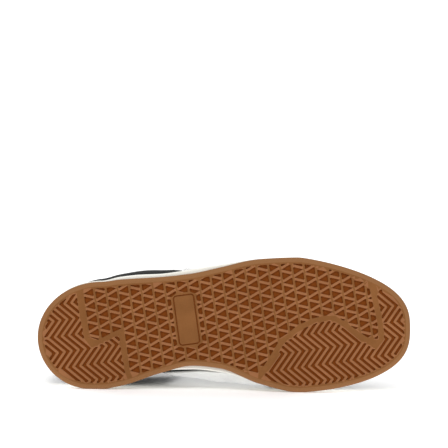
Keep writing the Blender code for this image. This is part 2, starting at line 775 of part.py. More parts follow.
def make_saddle(name, side, materials, parts, holes):
    """White side overlay, cut from the upper's face between a rear and a front edge."""
    climb = np.linspace(0.0, 1.0, UPPER_LEVELS)[None, :]
    rear_low, rear_high = share_of(SADDLE_REAR[side])
    rear = rear_low * (1 - climb) + rear_high * climb
    front_low, front_high = share_of(SADDLE_FRONT)
    front = front_low * (1 - climb) + front_high * climb
    stations = np.linspace(0.0, 1.0, STATIONS + 1)
    stations = stations[(stations > rear.min()) & (stations < front.max())]
    share = np.concatenate([rear, np.clip(stations[:, None], rear, front), front])
    rim = rim_level(side, share)
    level = rim + (1.0 - rim) * climb
    foot, _, _ = section_ends(side, share[:, 0])
    rear_lift, front_lift = SADDLE_LIFTS[side]
    to_front = (front_low - share[:, 0]) / (front_low - rear_low)
    lift = front_lift + (rear_lift - front_lift) * to_front**2
    lower_edge = level_at(side, share[:, 0], cup_top(foot[:, 0]) + lift)
    level[:, 0] = np.minimum(lower_edge, level[:, 1] - SADDLE_STEP)
    level[:, -1] = TOP_EDGE
    grid = upper_offset(side, share, level, OVERLAY_GAP)
    faces = grid_faces(len(share), UPPER_LEVELS, side == INNER)
    saddle = add_piece(name, grid.reshape(-1, 3), faces, materials["saddle"], parts)
    thicken(saddle, OVERLAY_WALL, 1.0)
    cut(saddle, holes)


def throat_bridge(section, clearance, flanks):
    """Points across the throat at a section: up each side of the wall, and a crown between its edges."""
    share = share_of(section)
    flanks = [upper_offset(side, share, levels, clearance) for side, levels in zip((OUTER, INNER), flanks)]
    ends = flanks[0][-1], flanks[1][-1]
    reach = CROWN_HANDLE * np.linalg.norm(ends[1] - ends[0]) / 2
    handles = []
    for side, end in zip((OUTER, INNER), ends):
        slope = upper_point(side, share, 1.0) - upper_point(side, share, CROWN_FROM)
        handles.append(end + slope / np.linalg.norm(slope) * reach)
    t = np.array(CROWN_SHARES)[:, None]
    rest = 1.0 - t
    crown = rest**3 * ends[0] + 3 * rest**2 * t * handles[0] + 3 * rest * t**2 * handles[1] + t**3 * ends[1]
    return np.concatenate([flanks[0], crown, flanks[1][::-1]])


def make_tongue(materials, parts):
    """Tongue: under the vamp and the edges of the throat, with a free top that leans to the ankle."""
    rows = []
    for section in TONGUE_SECTIONS:
        flanks = [grid_levels(side, share_of(section))[-TONGUE_FLANK:, 0] for side in (OUTER, INNER)]
        for levels in flanks:
            levels[-1] = TOP_EDGE
        rows.append(throat_bridge(section, -UPPER_WALL - TONGUE_CLEAR, flanks))
    crest = rows[-1][len(rows[-1]) // 2]
    section = rows[-1] - crest
    for reach, width, arch in TONGUE_TOP_STEPS:
        rows.append(crest + section * (arch, width, arch) + reach * np.array(TONGUE_LEAN))
    grid = np.array(rows)
    faces = grid_faces(len(rows), grid.shape[1], True)
    tongue = add_piece("tongue", grid.reshape(-1, 3), faces, materials["leather"], parts)
    thicken(tongue, TONGUE_THICK, -1.0)


def make_lace_bar(number, section, materials, parts):
    """One flat bar of the lace, from eyelet to eyelet over the tongue."""
    clearance = OVERLAY_GAP + OVERLAY_WALL + 2 * GAP
    levels = np.array(LACE_LEVELS)
    line = throat_bridge(section, clearance, (levels, levels))
    ahead = throat_bridge(section + 1.0, clearance, (levels, levels))
    run = ahead - line
    run = run / np.linalg.norm(run, axis=1, keepdims=True) * LACE_WIDTH / 2
    grid = np.stack([line - run, line + run])
    faces = grid_faces(2, len(line))
    bar = add_piece(f"lace_bar_{number}", grid.reshape(-1, 3), faces, materials["lace"], parts)
    thicken(bar, LACE_THICK, 1.0)


def world_points(parts):
    """All points of the finished pieces, as one array in metres."""
    depsgraph = bpy.context.evaluated_depsgraph_get()
    clouds = []
    for piece in parts.objects:
        mesh = piece.evaluated_get(depsgraph).to_mesh()
        points = np.zeros(3 * len(mesh.vertices))
        mesh.vertices.foreach_get("co", points)
        clouds.append(points.reshape(-1, 3))
    return np.concatenate(clouds)


def resting_normal(points):
    """Direction of the floor, in the shoe's frame: the inner facet of its hull under the weight centre."""
    shape = bmesh.new()
    for point in points:
        shape.verts.new(point)
    hull = bmesh.ops.convex_hull(shape, input=shape.verts)
    balance = BALANCE * MM
    best = None
    for face in (item for item in hull["geom"] if isinstance(item, bmesh.types.BMFace)):
        corners = [vert.co for vert in face.verts]
        normal = face.normal if (corners[0] - balance).dot(face.normal) > 0 else -face.normal
        if normal.y < SIDE_FACING:
            continue
        foot = balance + normal * (corners[0] - balance).dot(normal)
        turns = [
            (corners[(i + 1) % 3] - corners[i]).cross(foot - corners[i]).dot(face.normal) for i in range(3)
        ]
        if min(turns) >= 0 or max(turns) <= 0:
            best = normal.copy()
    shape.free()
    return best


def lay_down(parts, collection):
    """Lay the shoe on its inner side under one empty, with the middle of its floor box at the origin."""
    points = world_points(parts)
    down = resting_normal(points)
    up = -down
    forward = (Vector((1, 0, 0)) - down * down.x).normalized()
    across = up.cross(forward)
    turn = Matrix((forward, across, up))
    laid = points @ np.array(turn).T
    low, high = laid.min(axis=0), laid.max(axis=0)
    shift = Vector((-(low[0] + high[0]) / 2, -(low[1] + high[1]) / 2, -low[2]))
    pose = bpy.data.objects.new("lying_shoe", None)
    collection.objects.link(pose)
    pose.matrix_world = Matrix.Translation(shift) @ turn.to_4x4()
    for piece in parts.objects:
        piece.parent = pose


def main():
    """Model the pieces in the shoe's frame, then lay the shoe down."""
    clear_scene()
    scene_root = bpy.context.scene.collection
    parts = bpy.data.collections.new("court_shoe")
    cutters = bpy.data.collections.new("cutters")
    guides = bpy.data.collections.new("guides")
    for collection in (parts, cutters, guides):
        scene_root.children.link(collection)
    materials = {key: principled(*finish) for key, finish in FINISHES.items()}
    make_outsole(materials, parts, cutters)
    make_midsole(materials, parts)
    make_insole(materials, parts)
    holes = eyelet_cutter(cutters)
    make_upper(materials, parts, holes)
    make_saddle("saddle_inner", INNER, materials, parts, holes)
    make_saddle("saddle_outer", OUTER, materials, parts, holes)
    make_tongue(materials, parts)
    for number, section in enumerate(EYELETS, 1):
        make_lace_bar(number, section, materials, parts)
    lay_down(parts, guides)
    for cutter in cutters.objects:
        cutter.parent = bpy.data.objects["lying_shoe"]


main()
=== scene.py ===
"""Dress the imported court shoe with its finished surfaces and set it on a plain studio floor.

All shapes are worked out in the shoe's own frame, standing on the sole, in millimetres: x runs from the heel
to the toe, y points to the inner (big toe) side and z up from the ground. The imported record's tread mount
gives the pose that lays the shoe on its inner side.
"""

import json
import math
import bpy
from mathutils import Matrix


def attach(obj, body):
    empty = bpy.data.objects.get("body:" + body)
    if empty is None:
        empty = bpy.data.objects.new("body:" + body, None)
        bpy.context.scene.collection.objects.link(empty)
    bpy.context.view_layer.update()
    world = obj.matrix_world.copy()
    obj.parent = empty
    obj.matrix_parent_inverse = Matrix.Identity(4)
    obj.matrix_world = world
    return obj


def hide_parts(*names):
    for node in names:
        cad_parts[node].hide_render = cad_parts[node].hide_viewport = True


bl_info = {
    "name": "Court shoe dressing",
    "version": (1, 0, 0),
    "blender": (4, 5, 0),
    "location": "View3D > Sidebar > Court shoe",
    "description": "Builds the finished pieces of a low court shoe around its packed solids",
    "category": "Object",
}

import bmesh
import bpy
import numpy as np
from mathutils import Matrix, Vector
from mathutils.geometry import delaunay_2d_cdt

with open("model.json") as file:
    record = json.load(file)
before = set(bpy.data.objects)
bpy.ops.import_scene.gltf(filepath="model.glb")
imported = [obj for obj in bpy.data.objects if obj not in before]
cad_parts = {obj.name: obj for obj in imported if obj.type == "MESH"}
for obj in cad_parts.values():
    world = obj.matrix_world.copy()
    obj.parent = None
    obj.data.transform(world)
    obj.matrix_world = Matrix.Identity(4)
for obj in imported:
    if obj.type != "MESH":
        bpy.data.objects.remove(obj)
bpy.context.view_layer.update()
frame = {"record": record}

MM = 0.001
GAP = 0.3
INNER = 1.0
OUTER = -1.0
SIDES = (OUTER, INNER)

# Driving dimensions of the solids
LENGTH = 300.0
TOE_OFFSET = 6.5
BALL = 211.0
TOE_SPRING = 9.0
SPRING_END = 1.2
OUTSOLE_THICK = 5.0
CUP_WALL = 5.0
UPPER_WALL = 2.0
OVERLAY_GAP = 0.6
OVERLAY_WALL = 1.2
INSOLE_THICK = 3.5
TONGUE_THICK = 3.4

# Outlines: distance from the heel, half-width to the inner side, half-width to the outer side
OUTSOLE_ROWS = (
    (51.0, 42.2, 44.6),
    (66.0, 39.9, 46.4),
    (99.0, 29.4, 48.5),
    (125.0, 23.4, 51.4),
    (147.0, 25.6, 56.2),
    (179.0, 38.0, 63.0),
    (211.0, 44.8, 64.4),
)
MIDSOLE_ROWS = (
    (51.0, 41.4, 45.4),
    (66.0, 39.2, 48.5),
    (82.0, 34.0, 50.3),
    (99.0, 28.6, 51.0),
    (112.0, 26.7, 52.6),
    (125.0, 26.5, 54.8),
    (147.0, 28.6, 58.4),
    (179.0, 37.4, 62.8),
    (211.0, 44.0, 63.9),
)
# How far the gum edge stands out past the shoe's length at the heel and at the toe, and the cup stays inside
HEEL_LIP = 0.5
TOE_LIP = 1.8
MIDSOLE_INSET = 0.8
OUTSOLE_EDGE = {"rows": OUTSOLE_ROWS, "heel": -HEEL_LIP, "toe": LENGTH + TOE_LIP}
MIDSOLE_EDGE = {"rows": MIDSOLE_ROWS, "heel": MIDSOLE_INSET, "toe": LENGTH - MIDSOLE_INSET}
HEEL_CENTRES = {INNER: 43.0, OUTER: 51.0}
TOE_POWERS = {INNER: (1.7, 2.75), OUTER: (1.24, 2.7)}

# Heights over the sole's underside: distance from the heel, top of the cup's wall, floor of the cup
CUP_ROWS = (
    (0.0, 29.0, 15.0),
    (60.0, 27.5, 15.0),
    (125.0, 25.5, 13.0),
    (211.0, 22.5, 10.5),
    (300.0, 22.0, 10.5),
)

# Sections of the upper: place on the sole's edge, place of the top point, its half-widths from the ridge on
# the inner and outer side, its height, its turn there (degrees), and how far each side swells
SECTION, TOP_ALONG, TOP_INNER, TOP_OUTER, TOP_HEIGHT, ROLL, SWELL_INNER, SWELL_OUTER = range(8)
UPPER_ROWS = (
    (0.0, 12.0, 0.0, 0.0, 96.0, 22.0, 4.0, 4.0),
    (4.0, 13.3, 12.0, 12.0, 95.8, 22.0, 4.0, 4.0),
    (14.0, 19.5, 22.5, 22.5, 94.0, 23.0, 3.5, 4.0),
    (30.0, 33.0, 30.0, 30.0, 88.5, 25.0, 3.0, 5.0),
    (50.0, 51.0, 33.5, 34.0, 81.5, 27.0, 3.0, 7.0),
    (70.0, 70.0, 34.5, 36.0, 78.5, 29.0, 3.5, 8.0),
    (90.0, 89.0, 32.0, 35.5, 81.5, 34.0, 5.0, 9.2),
    (108.0, 106.0, 27.0, 31.5, 92.0, 42.0, 9.5, 8.6),
    (122.0, 119.0, 21.0, 25.5, 106.0, 52.0, 12.5, 5.8),
    (131.0, 127.0, 17.0, 20.5, 112.5, 58.0, 14.0, 4.8),
    (146.0, 141.0, 14.5, 17.0, 108.0, 64.0, 15.5, 4.4),
    (170.0, 164.0, 12.0, 14.0, 97.0, 70.0, 12.0, 4.4),
    (195.0, 188.0, 9.5, 11.0, 85.5, 76.0, 7.0, 4.2),
    (212.0, 204.0, 7.5, 8.5, 78.0, 82.0, 4.5, 4.0),
    (222.0, 212.0, 0.0, 0.0, 75.0, 88.0, 4.0, 4.0),
    (245.0, 230.0, 0.0, 0.0, 67.5, 90.0, 3.5, 3.5),
    (268.0, 244.0, 0.0, 0.0, 62.0, 88.0, 3.0, 3.0),
    (286.0, 255.0, 0.0, 0.0, 58.6, 84.0, 3.0, 3.0),
    (300.0, 265.0, 0.0, 0.0, 56.6, 80.0, 3.0, 3.0),
)
SWELL_SKEW = 0.6

# Saddles, eyelets and laces: rear and front edges at the sole and at the throat, rows of holes
SADDLE_REAR = {INNER: (101.0, 121.0), OUTER: (115.0, 129.0)}
SADDLE_FRONT = (186.0, 211.0)
SADDLE_LIFTS = {INNER: (10.0, 1.0), OUTER: (1.0, 1.0)}
TOP_EDGE = 0.99
EYELETS = (136.0, 150.0, 164.0, 178.0, 192.0, 205.0)
EYELET_LEVEL = 0.88
EYELET_RADIUS = 2.2

# The tongue: its ends, and the steps of its free top as reach, share of width and share of arching
TONGUE_ENDS = (228.0, 135.0)
TONGUE_TOP_STEPS = (
    (0.0, 1.0, 1.0),
    (6.0, 0.53, 0.48),
    (13.0, 0.68, 0.34),
    (20.0, 0.74, 0.25),
    (24.0, 0.62, 0.2),
)
TONGUE_LEAN = (-0.62, 0.0, 0.78)
TONGUE_FLANK = 5.0 / 7.0
TONGUE_CLEAR = 1.1
CROWN_FROM = 0.97
CROWN_HANDLE = 0.6

# Tread: all of it turned by one angle from the shoe's axis, with places as (along, out to the outer side)
TREAD_TURN = math.radians(8.0)
TREAD_DEPTH = 1.8
RIM_WIDTH = 5.0
# Triangle lattice: one crossing of its bars, pitch of its columns and rows, rise of a bar over a column,
# width of a bar, room between the apexes, and the columns and rows that can reach the tread
LATTICE_START = (188.4, 40.7)
LATTICE_COLUMN = 9.476
LATTICE_ROW = 10.86
LATTICE_RISE = 3.03
LATTICE_RIB = 1.9
LATTICE_APEX = 2.6
LATTICE_COLUMNS = range(-24, 14)
LATTICE_ROWS = range(-14, 20)
# Herringbone: pitch of its ribs, half a wave along the run, reach of its corners, width of a groove, and a
# forward corner of one rib at the heel and at the toe
CHEVRON_PITCH = 5.693
CHEVRON_HALF = 12.86
CHEVRON_REACH = 11.9
CHEVRON_GROOVE = 2.75
CHEVRON_NUMBERS = range(-50, 50)
CHEVRON_LEGS = 8
CHEVRON_STEPS = 25
GROOVE_EDGES = (-CHEVRON_GROOVE / 2, CHEVRON_GROOVE / 2)
HEEL_POINT = (23.7, 14.3)
TOE_POINT = (217.8, -10.8)
# Flush bands: their middle lines and half-widths, and the points that close them round the herringbone
HEEL_BAND = ((31.5, 44.0), (39.6, 0.0), (44.5, -6.5), (67.1, 4.9), (75.5, -45.0))
HEEL_BAND_HALF = 2.0
TOE_BAND = (
    (174.5, -40.0),
    (188.0, -19.0),
    (197.0, -4.0),
    (210.7, 7.3),
    (224.3, 13.7),
    (236.8, 15.6),
    (243.6, 12.9),
    (273.1, -7.7),
    (277.7, -1.9),
    (277.1, 9.4),
    (274.1, 23.0),
    (266.5, 56.0),
)
TOE_BAND_HALF = 2.2
HEEL_CLOSE = ((-60.0, -45.0), (-60.0, 44.0))
TOE_CLOSE = ((380.0, 56.0), (380.0, -90.0), (174.5, -90.0))
# Bare plate: its rounded corners in steps of degrees, and its groove that runs inside a frame
PLATE_CENTRE = (120.1, 14.0)
PLATE_SIZE = (15.4, 39.0)
PLATE_ROUND = 2.0
PLATE_STEP = 15.0
PLATE_FRAME = 1.7
PLATE_GROOVE = 1.1
PLATE_GROOVE_DEPTH = 0.9
# Smallest area and breadth of a pocket, and smallest edge and bend of its outline
MIN_POCKET = 2.2
MIN_BREADTH = 0.5
MIN_EDGE = 0.7
MIN_BEND = 0.06

# Soft creases of the upper: section at the sole, section at the top, depth, half-width, first and last level
CREASES = (
    (204.0, 221.0, 0.7, 3.6, 0.45, 1.05),
    (214.0, 232.0, 0.8, 3.2, 0.5, 1.05),
    (224.0, 243.0, 0.5, 3.0, 0.55, 1.05),
    (84.0, 78.0, 0.7, 5.0, 0.45, 0.95),
    (58.0, 66.0, 0.5, 4.0, 0.5, 0.95),
    (22.0, 30.0, 0.4, 4.0, 0.4, 0.8),
)
CREASE_FADE = 6.0
RIDGE_HEIGHT = 0.45
RIDGE_PLACE = 2.0


def shoe_pose():
    """Turn and shift from the shoe's frame to the row frame, in millimetres, from the tread mount.

    The mount's axis points down from the sole and its point is the plate's centre. The shoe's forward axis
    has no part along the row's Y, because the shoe was laid down about its length.
    """
    mount = next(item for item in frame["record"]["mounts"] if item["name"] == "tread")
    up = -np.array(mount["axis"])
    up = up / np.linalg.norm(up)
    forward = np.array((-up[2], 0.0, up[0]))
    forward = forward / np.linalg.norm(forward)
    turn = np.column_stack([forward, np.cross(up, forward), up])
    plate = np.array((PLATE_CENTRE[0], -PLATE_CENTRE[1], 0.0))
    return turn, np.array(mount["pos_m"]) / MM - turn @ plate


TURN, SHIFT = shoe_pose()


def to_row(points):
    """Points of the shoe's frame, in millimetres, as row-frame points in metres."""
    return (np.asarray(points, float) @ TURN.T + SHIFT) * MM


# The forms of the solids


def curve_through(knots, values, places, end_slope=0.0):
    """Monotone cubic curve through the knots, with end slopes that are a share of the end chords."""
    knots = np.asarray(knots, float)
    values = np.asarray(values, float)
    spans = np.diff(knots)
    chords = np.diff(values) / spans
    before, after = chords[:-1], chords[1:]
    same_way = before * after > 0
    total = np.where(same_way, before + after, 1.0)
    inside = np.where(same_way, 2 * before * after / total, 0.0)
    slopes = np.concatenate(([end_slope * chords[0]], inside, [end_slope * chords[-1]]))
    places = np.clip(np.asarray(places, float), knots[0], knots[-1])
    at = np.clip(np.searchsorted(knots, places, side="right") - 1, 0, len(spans) - 1)
    t = (places - knots[at]) / spans[at]
    rest = 1.0 - t
    return (
        values[at] * (1 + 2 * t) * rest**2
        + values[at + 1] * (3 - 2 * t) * t**2
        + slopes[at] * spans[at] * t * rest**2
        - slopes[at + 1] * spans[at] * rest * t**2
    )


def column(rows, index):
    """One column of a table."""
    return [row[index] for row in rows]


def share_of(along):
    """Place round a side, 0 at the heel's back and 1 at the toe's tip, for a distance from the heel."""
    return np.arccos(1.0 - 2.0 * np.asarray(along, float) / LENGTH) / math.pi


def along_of(share):
    """Distance from the heel for a share of the way round a side."""
    return LENGTH * (1.0 - np.cos(math.pi * np.asarray(share, float))) / 2.0


def edge_width(edge, side, along):
    """Half-width of an outline: a round heel, a curve through the rows, then a rounded toe."""
    widths = column(edge["rows"], 1 if side == INNER else 2)
    tip = -side * TOE_OFFSET
    centre = HEEL_CENTRES[side]
    into_heel = np.clip((centre - along) / (centre - edge["heel"]), 0.0, 1.0)
    heel = widths[0] * np.sqrt(1.0 - into_heel**2)
    middle = curve_through(column(edge["rows"], 0), widths, along)
    power, root = TOE_POWERS[side]
    into_toe = np.clip((along - BALL) / (edge["toe"] - BALL), 0.0, 1.0)
    toe = tip + (widths[-1] - tip) * (1.0 - into_toe**power) ** (1.0 / root)
    return np.where(along < edge["rows"][0][0], heel, np.where(along > BALL, toe, middle))


def edge_point(edge, side, share):
    """Point (x, y) of an outline at a share of the way round one side."""
    reach = edge["toe"] - edge["heel"]
    along = edge["heel"] + reach * (1.0 - np.cos(math.pi * np.asarray(share, float))) / 2.0
    return np.stack([along, side * edge_width(edge, side, along)], axis=-1)


def edge_normal(edge, side, share):
    """Outward direction (x, y) of an outline, from the points just before and after."""
    step = 1e-4
    ahead = edge_point(edge, side, np.clip(np.asarray(share, float) + step, 0.0, 1.0))
    behind = edge_point(edge, side, np.clip(np.asarray(share, float) - step, 0.0, 1.0))
    run = ahead - behind
    normal = side * np.stack([-run[..., 1], run[..., 0]], axis=-1)
    return normal / np.linalg.norm(normal, axis=-1, keepdims=True)


def inset_point(edge, side, share, inset):
    """Point of an outline moved inwards by a distance."""
    return edge_point(edge, side, share) - inset * edge_normal(edge, side, share)


def round_loop(edge, inset, stations):
    """Closed loop of an outline: heel to toe along the outer side, and back along the inner side."""
    shares = np.linspace(0.0, 1.0, stations + 1)
    outer = inset_point(edge, OUTER, shares, inset)
    inner = inset_point(edge, INNER, shares, inset)
    return np.concatenate([outer, inner[-2:0:-1]])


def underside(along):
    """Height of the sole's underside: flat from the heel to the ball, then the toe spring."""
    return TOE_SPRING * np.clip((along - BALL) / (LENGTH - BALL), 0.0, SPRING_END) ** 2


def cup_top(along):
    """Height of the top of the cup's wall."""
    return underside(along) + curve_through(column(CUP_ROWS, 0), column(CUP_ROWS, 1), along)


def cup_floor(along):
    """Height of the cup's floor."""
    return underside(along) + curve_through(column(CUP_ROWS, 0), column(CUP_ROWS, 2), along)


def section_value(index, share, end_slope=0.0):
    """One column of the upper's table at a share of the way round a side."""
    return curve_through(share_of(column(UPPER_ROWS, SECTION)), column(UPPER_ROWS, index), share, end_slope)


def section_ends(side, share):
    """Foot and top of the upper's sections, and the direction in which they swell."""
    foot = inset_point(MIDSOLE_EDGE, side, share, CUP_WALL)
    foot = np.concatenate([foot, (cup_floor(foot[..., 0]) + GAP)[..., None]], axis=-1)
    along = section_value(TOP_ALONG, share)
    half = section_value(TOP_INNER if side == INNER else TOP_OUTER, share, 1.0)
    across = -TOE_OFFSET * along / LENGTH + side * half
    top = np.stack([along, across, section_value(TOP_HEIGHT, share)], axis=-1)
    return foot, top, edge_normal(MIDSOLE_EDGE, side, share)


def level_at(side, share, height):
    """Level on a section, 0 at its foot and 1 at the top line, where it reaches a height."""
    foot, top, _ = section_ends(side, share)
    roll = np.radians(section_value(ROLL, share))
    climb = np.clip((height - foot[..., 2]) / (top[..., 2] - foot[..., 2]), 0.0, 1.0)
    return np.arcsin(climb * np.sin(roll)) / roll


def rim_level(side, share):
    """Level where a section passes the top of the cup's wall."""
    foot, _, _ = section_ends(side, share)
    return level_at(side, share, cup_top(foot[..., 0]))


def upper_point(side, share, level):
    """Point of the upper's outer face: an arc from the sole's edge to the top line, swollen above the cup."""
    share, level = np.broadcast_arrays(np.asarray(share, float), np.asarray(level, float))
    foot, top, out = section_ends(side, share)
    roll = np.radians(section_value(ROLL, share))
    turn = level * roll
    lean = ((1.0 - np.cos(turn)) / (1.0 - np.cos(roll)))[..., None]
    climb = np.sin(turn) / np.sin(roll)
    start = rim_level(side, share)
    over = np.clip((level - start) / (1.0 - start), 0.0, 1.0)
    swell = section_value(SWELL_INNER if side == INNER else SWELL_OUTER, share)
    swell = swell * np.sin(math.pi * over**SWELL_SKEW)
    flat = foot[..., :2] + (top[..., :2] - foot[..., :2]) * lean + out * swell[..., None]
    height = foot[..., 2] + (top[..., 2] - foot[..., 2]) * climb
    return np.concatenate([flat, height[..., None]], axis=-1)


def upper_normal(side, share, level):
    """Outward direction of the upper's face, from its slopes along and up.

    At the heel's back and the toe's tip, where the two sides meet, it has no part across the shoe.
    """
    step = 1e-3
    share, level = np.broadcast_arrays(np.asarray(share, float), np.asarray(level, float))
    behind, ahead = np.clip(share - step, 0.0, 1.0), np.clip(share + step, 0.0, 1.0)
    low, high = np.clip(level - step, 0.0, 1.0), np.clip(level + step, 0.0, 1.0)
    along = upper_point(side, ahead, level) - upper_point(side, behind, level)
    up = upper_point(side, share, high) - upper_point(side, share, low)
    normal = -side * np.cross(along, up)
    normal[..., 1] = np.where((share > 0.0) & (share < 1.0), normal[..., 1], 0.0)
    return normal / np.linalg.norm(normal, axis=-1, keepdims=True)


def crease_relief(share, level):
    """Height of the creases: each a soft trough along a slanted line, between two lower ridges."""
    along = along_of(share)
    relief = np.zeros(np.broadcast(along, level).shape)
    for low, high, depth, width, first, last in CREASES:
        away = (along - (low + (high - low) * level)) / width
        start = np.clip((level - first) * CREASE_FADE, 0.0, 1.0)
        end = np.clip((last - level) * CREASE_FADE, 0.0, 1.0)
        trough = np.exp(-(away**2)) - RIDGE_HEIGHT * np.exp(-((np.abs(away) - RIDGE_PLACE) ** 2))
        relief = relief - depth * (start * end) * trough
    return relief


def upper_offset(side, share, level, distance):
    """Point at a distance outside the upper's face, creases included."""
    height = np.asarray(distance + crease_relief(share, level))
    return upper_point(side, share, level) + height[..., None] * upper_normal(side, share, level)


# Meshes

MERGE_REACH = 0.004
EYELET_PIN = 12.0
EYELET_SEGMENTS = 20
BEVEL_SEGMENTS = 3
BEVEL_ANGLE = 60.0
STITCH_POINTS = 7
STITCH_SIDES = 6
STITCH_TANGENT = 0.2


class Surface:
    """Points, faces, pattern places and finishes of one piece, gathered from several grids."""

    def __init__(self):
        self.points = []
        self.places = []
        self.faces = []
        self.finishes = []
        self.count = 0

    def add(self, points, places, faces, finishes=0):
        """Add points with their pattern places, and faces that count from the first of these points."""
        points = np.asarray(points, float)
        places = np.broadcast_to(np.asarray(places, float), points.shape)
        points = points.reshape(-1, 3)
        self.points.append(points)
        self.places.append(places.reshape(-1, 3))
        self.faces += [tuple(int(index) + self.count for index in face) for face in faces]
        self.finishes.append(np.broadcast_to(finishes, len(faces)))
        self.count += len(points)

    def add_grid(self, points, places, flip=False, wrap=False, finishes=0):
        """Add a grid of points, rows by columns, joined by quads; wrap closes its rows."""
        rows, columns = points.shape[:2]
        self.add(points, places, grid_quads(rows, columns, flip, wrap), finishes)


def grid_quads(rows, columns, flip=False, wrap=False):
    """Quads of a grid whose points are stored row by row; wrap joins the last column to the first."""
    index = np.arange(rows * columns).reshape(rows, columns)
    if wrap:
        index = np.concatenate([index, index[:, :1]], axis=1)
    quads = np.stack([index[:-1, :-1], index[1:, :-1], index[1:, 1:], index[:-1, 1:]], axis=-1)
    quads = quads.reshape(-1, 4)
    return quads[:, ::-1] if flip else quads


def strip_quads(count):
    """Faces across a closed loop from the heel: triangles at its ends and quads from side to side."""
    half = count // 2
    ends = [(0, 1, count - 1), (half - 1, half, half + 1)]
    return ends + [(i, i + 1, count - i - 1, count - i) for i in range(1, half - 1)]


def add_piece(name, surface, materials, outward=False, sharp=40.0):
    """A piece from a surface: its doubled points merged, shaded smooth up to an angle, at the origin."""
    mesh = bpy.data.meshes.new(name)
    mesh.from_pydata(to_row(np.concatenate(surface.points)), [], surface.faces)
    mesh.polygons.foreach_set("material_index", np.concatenate(surface.finishes).astype(np.int32))
    place = mesh.attributes.new("place", "FLOAT_VECTOR", "POINT")
    place.data.foreach_set("vector", np.concatenate(surface.places).astype(np.float32).ravel())
    shape = bmesh.new()
    shape.from_mesh(mesh)
    bmesh.ops.remove_doubles(shape, verts=shape.verts, dist=MERGE_REACH * MM)
    if outward:
        bmesh.ops.recalc_face_normals(shape, faces=shape.faces)
    shape.to_mesh(mesh)
    shape.free()
    mesh.shade_smooth()
    mesh.set_sharp_from_angle(angle=math.radians(sharp))
    for material in materials:
        mesh.materials.append(material)
    piece = bpy.data.objects.new(name, mesh)
    bpy.context.scene.collection.objects.link(piece)
    return piece


def place_piece(piece, slot, *nodes):
    """Let a piece rest on the floor, ride on the shoe's one body and stand for its solids; the slot is not
    used.
    """
    points = np.empty(3 * len(piece.data.vertices))
    piece.data.vertices.foreach_get("co", points)
    points[2::3] = np.maximum(points[2::3], 0.0)
    piece.data.vertices.foreach_set("co", points)
    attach(piece, "root")
    if nodes:
        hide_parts(*nodes)


def thicken(piece, thickness, offset, rounding):
    """Give an open surface its wall and round the wall's edges; a second finish goes on the inner face."""
    wall = piece.modifiers.new("wall", "SOLIDIFY")
    wall.thickness = thickness * MM
    wall.offset = offset
    wall.material_offset = len(piece.data.materials) - 1
    edges = piece.modifiers.new("edges", "BEVEL")
    edges.width = rounding * MM
    edges.segments = BEVEL_SEGMENTS
    edges.limit_method = "ANGLE"
    edges.angle_limit = math.radians(BEVEL_ANGLE)


def set_modifiers(piece):
    """Replace a piece's mesh by what its modifiers make of it."""
    depsgraph = bpy.context.evaluated_depsgraph_get()
    mesh = bpy.data.meshes.new_from_object(piece.evaluated_get(depsgraph))
    piece.modifiers.clear()
    piece.data = mesh


def punch(piece, cutter):
    """Cut the eyelets through a piece."""
    holes = piece.modifiers.new("eyelets", "BOOLEAN")
    holes.operation = "DIFFERENCE"
    holes.object = cutter
    set_modifiers(piece)


def eyelet_cutter():
    """A cutter with one round pin through the wall at each eyelet."""
    shape = bmesh.new()
    for side in SIDES:
        for section in EYELETS:
            share = share_of(section)
            centre = to_row(upper_point(side, share, EYELET_LEVEL))
            axis = Vector(TURN @ upper_normal(side, share, EYELET_LEVEL))
            turn = axis.to_track_quat("Z", "X").to_matrix().to_4x4()
            bmesh.ops.create_cone(
                shape,
                cap_ends=True,
                segments=EYELET_SEGMENTS,
                radius1=EYELET_RADIUS * MM,
                radius2=EYELET_RADIUS * MM,
                depth=EYELET_PIN * MM,
                matrix=Matrix.Translation(Vector(centre)) @ turn,
            )
    mesh = bpy.data.meshes.new("eyelet_cutter")
    shape.to_mesh(mesh)
    shape.free()
    cutter = bpy.data.objects.new("eyelet_cutter", mesh)
    bpy.context.scene.collection.objects.link(cutter)
    return cutter


def unit(vectors):
    """Vectors scaled to length 1."""
    return vectors / np.linalg.norm(vectors, axis=-1, keepdims=True)


def lengths_along(path):
    """Length of a polyline from its start to each of its points."""
    return np.concatenate([[0.0], np.cumsum(np.linalg.norm(np.diff(path, axis=0), axis=1))])


def pattern_places(along, across):
    """Pattern places (along, across, 0) of a grid."""
    return np.stack(np.broadcast_arrays(along, across, 0.0), axis=-1)


def resampled(path, values, step):
    """A polyline, values on it and its direction at even steps, whose count fits its length."""
    lengths = lengths_along(path)
    count = max(2, int(round(lengths[-1] / step)))
    places = (np.arange(count) + 0.5) * lengths[-1] / count

    def read(table, at):
        return np.stack([np.interp(at, lengths, table[:, k]) for k in range(3)], axis=-1)

    direction = read(path, places + STITCH_TANGENT) - read(path, places - STITCH_TANGENT)
    return read(path, places), unit(read(values, places)), unit(direction)


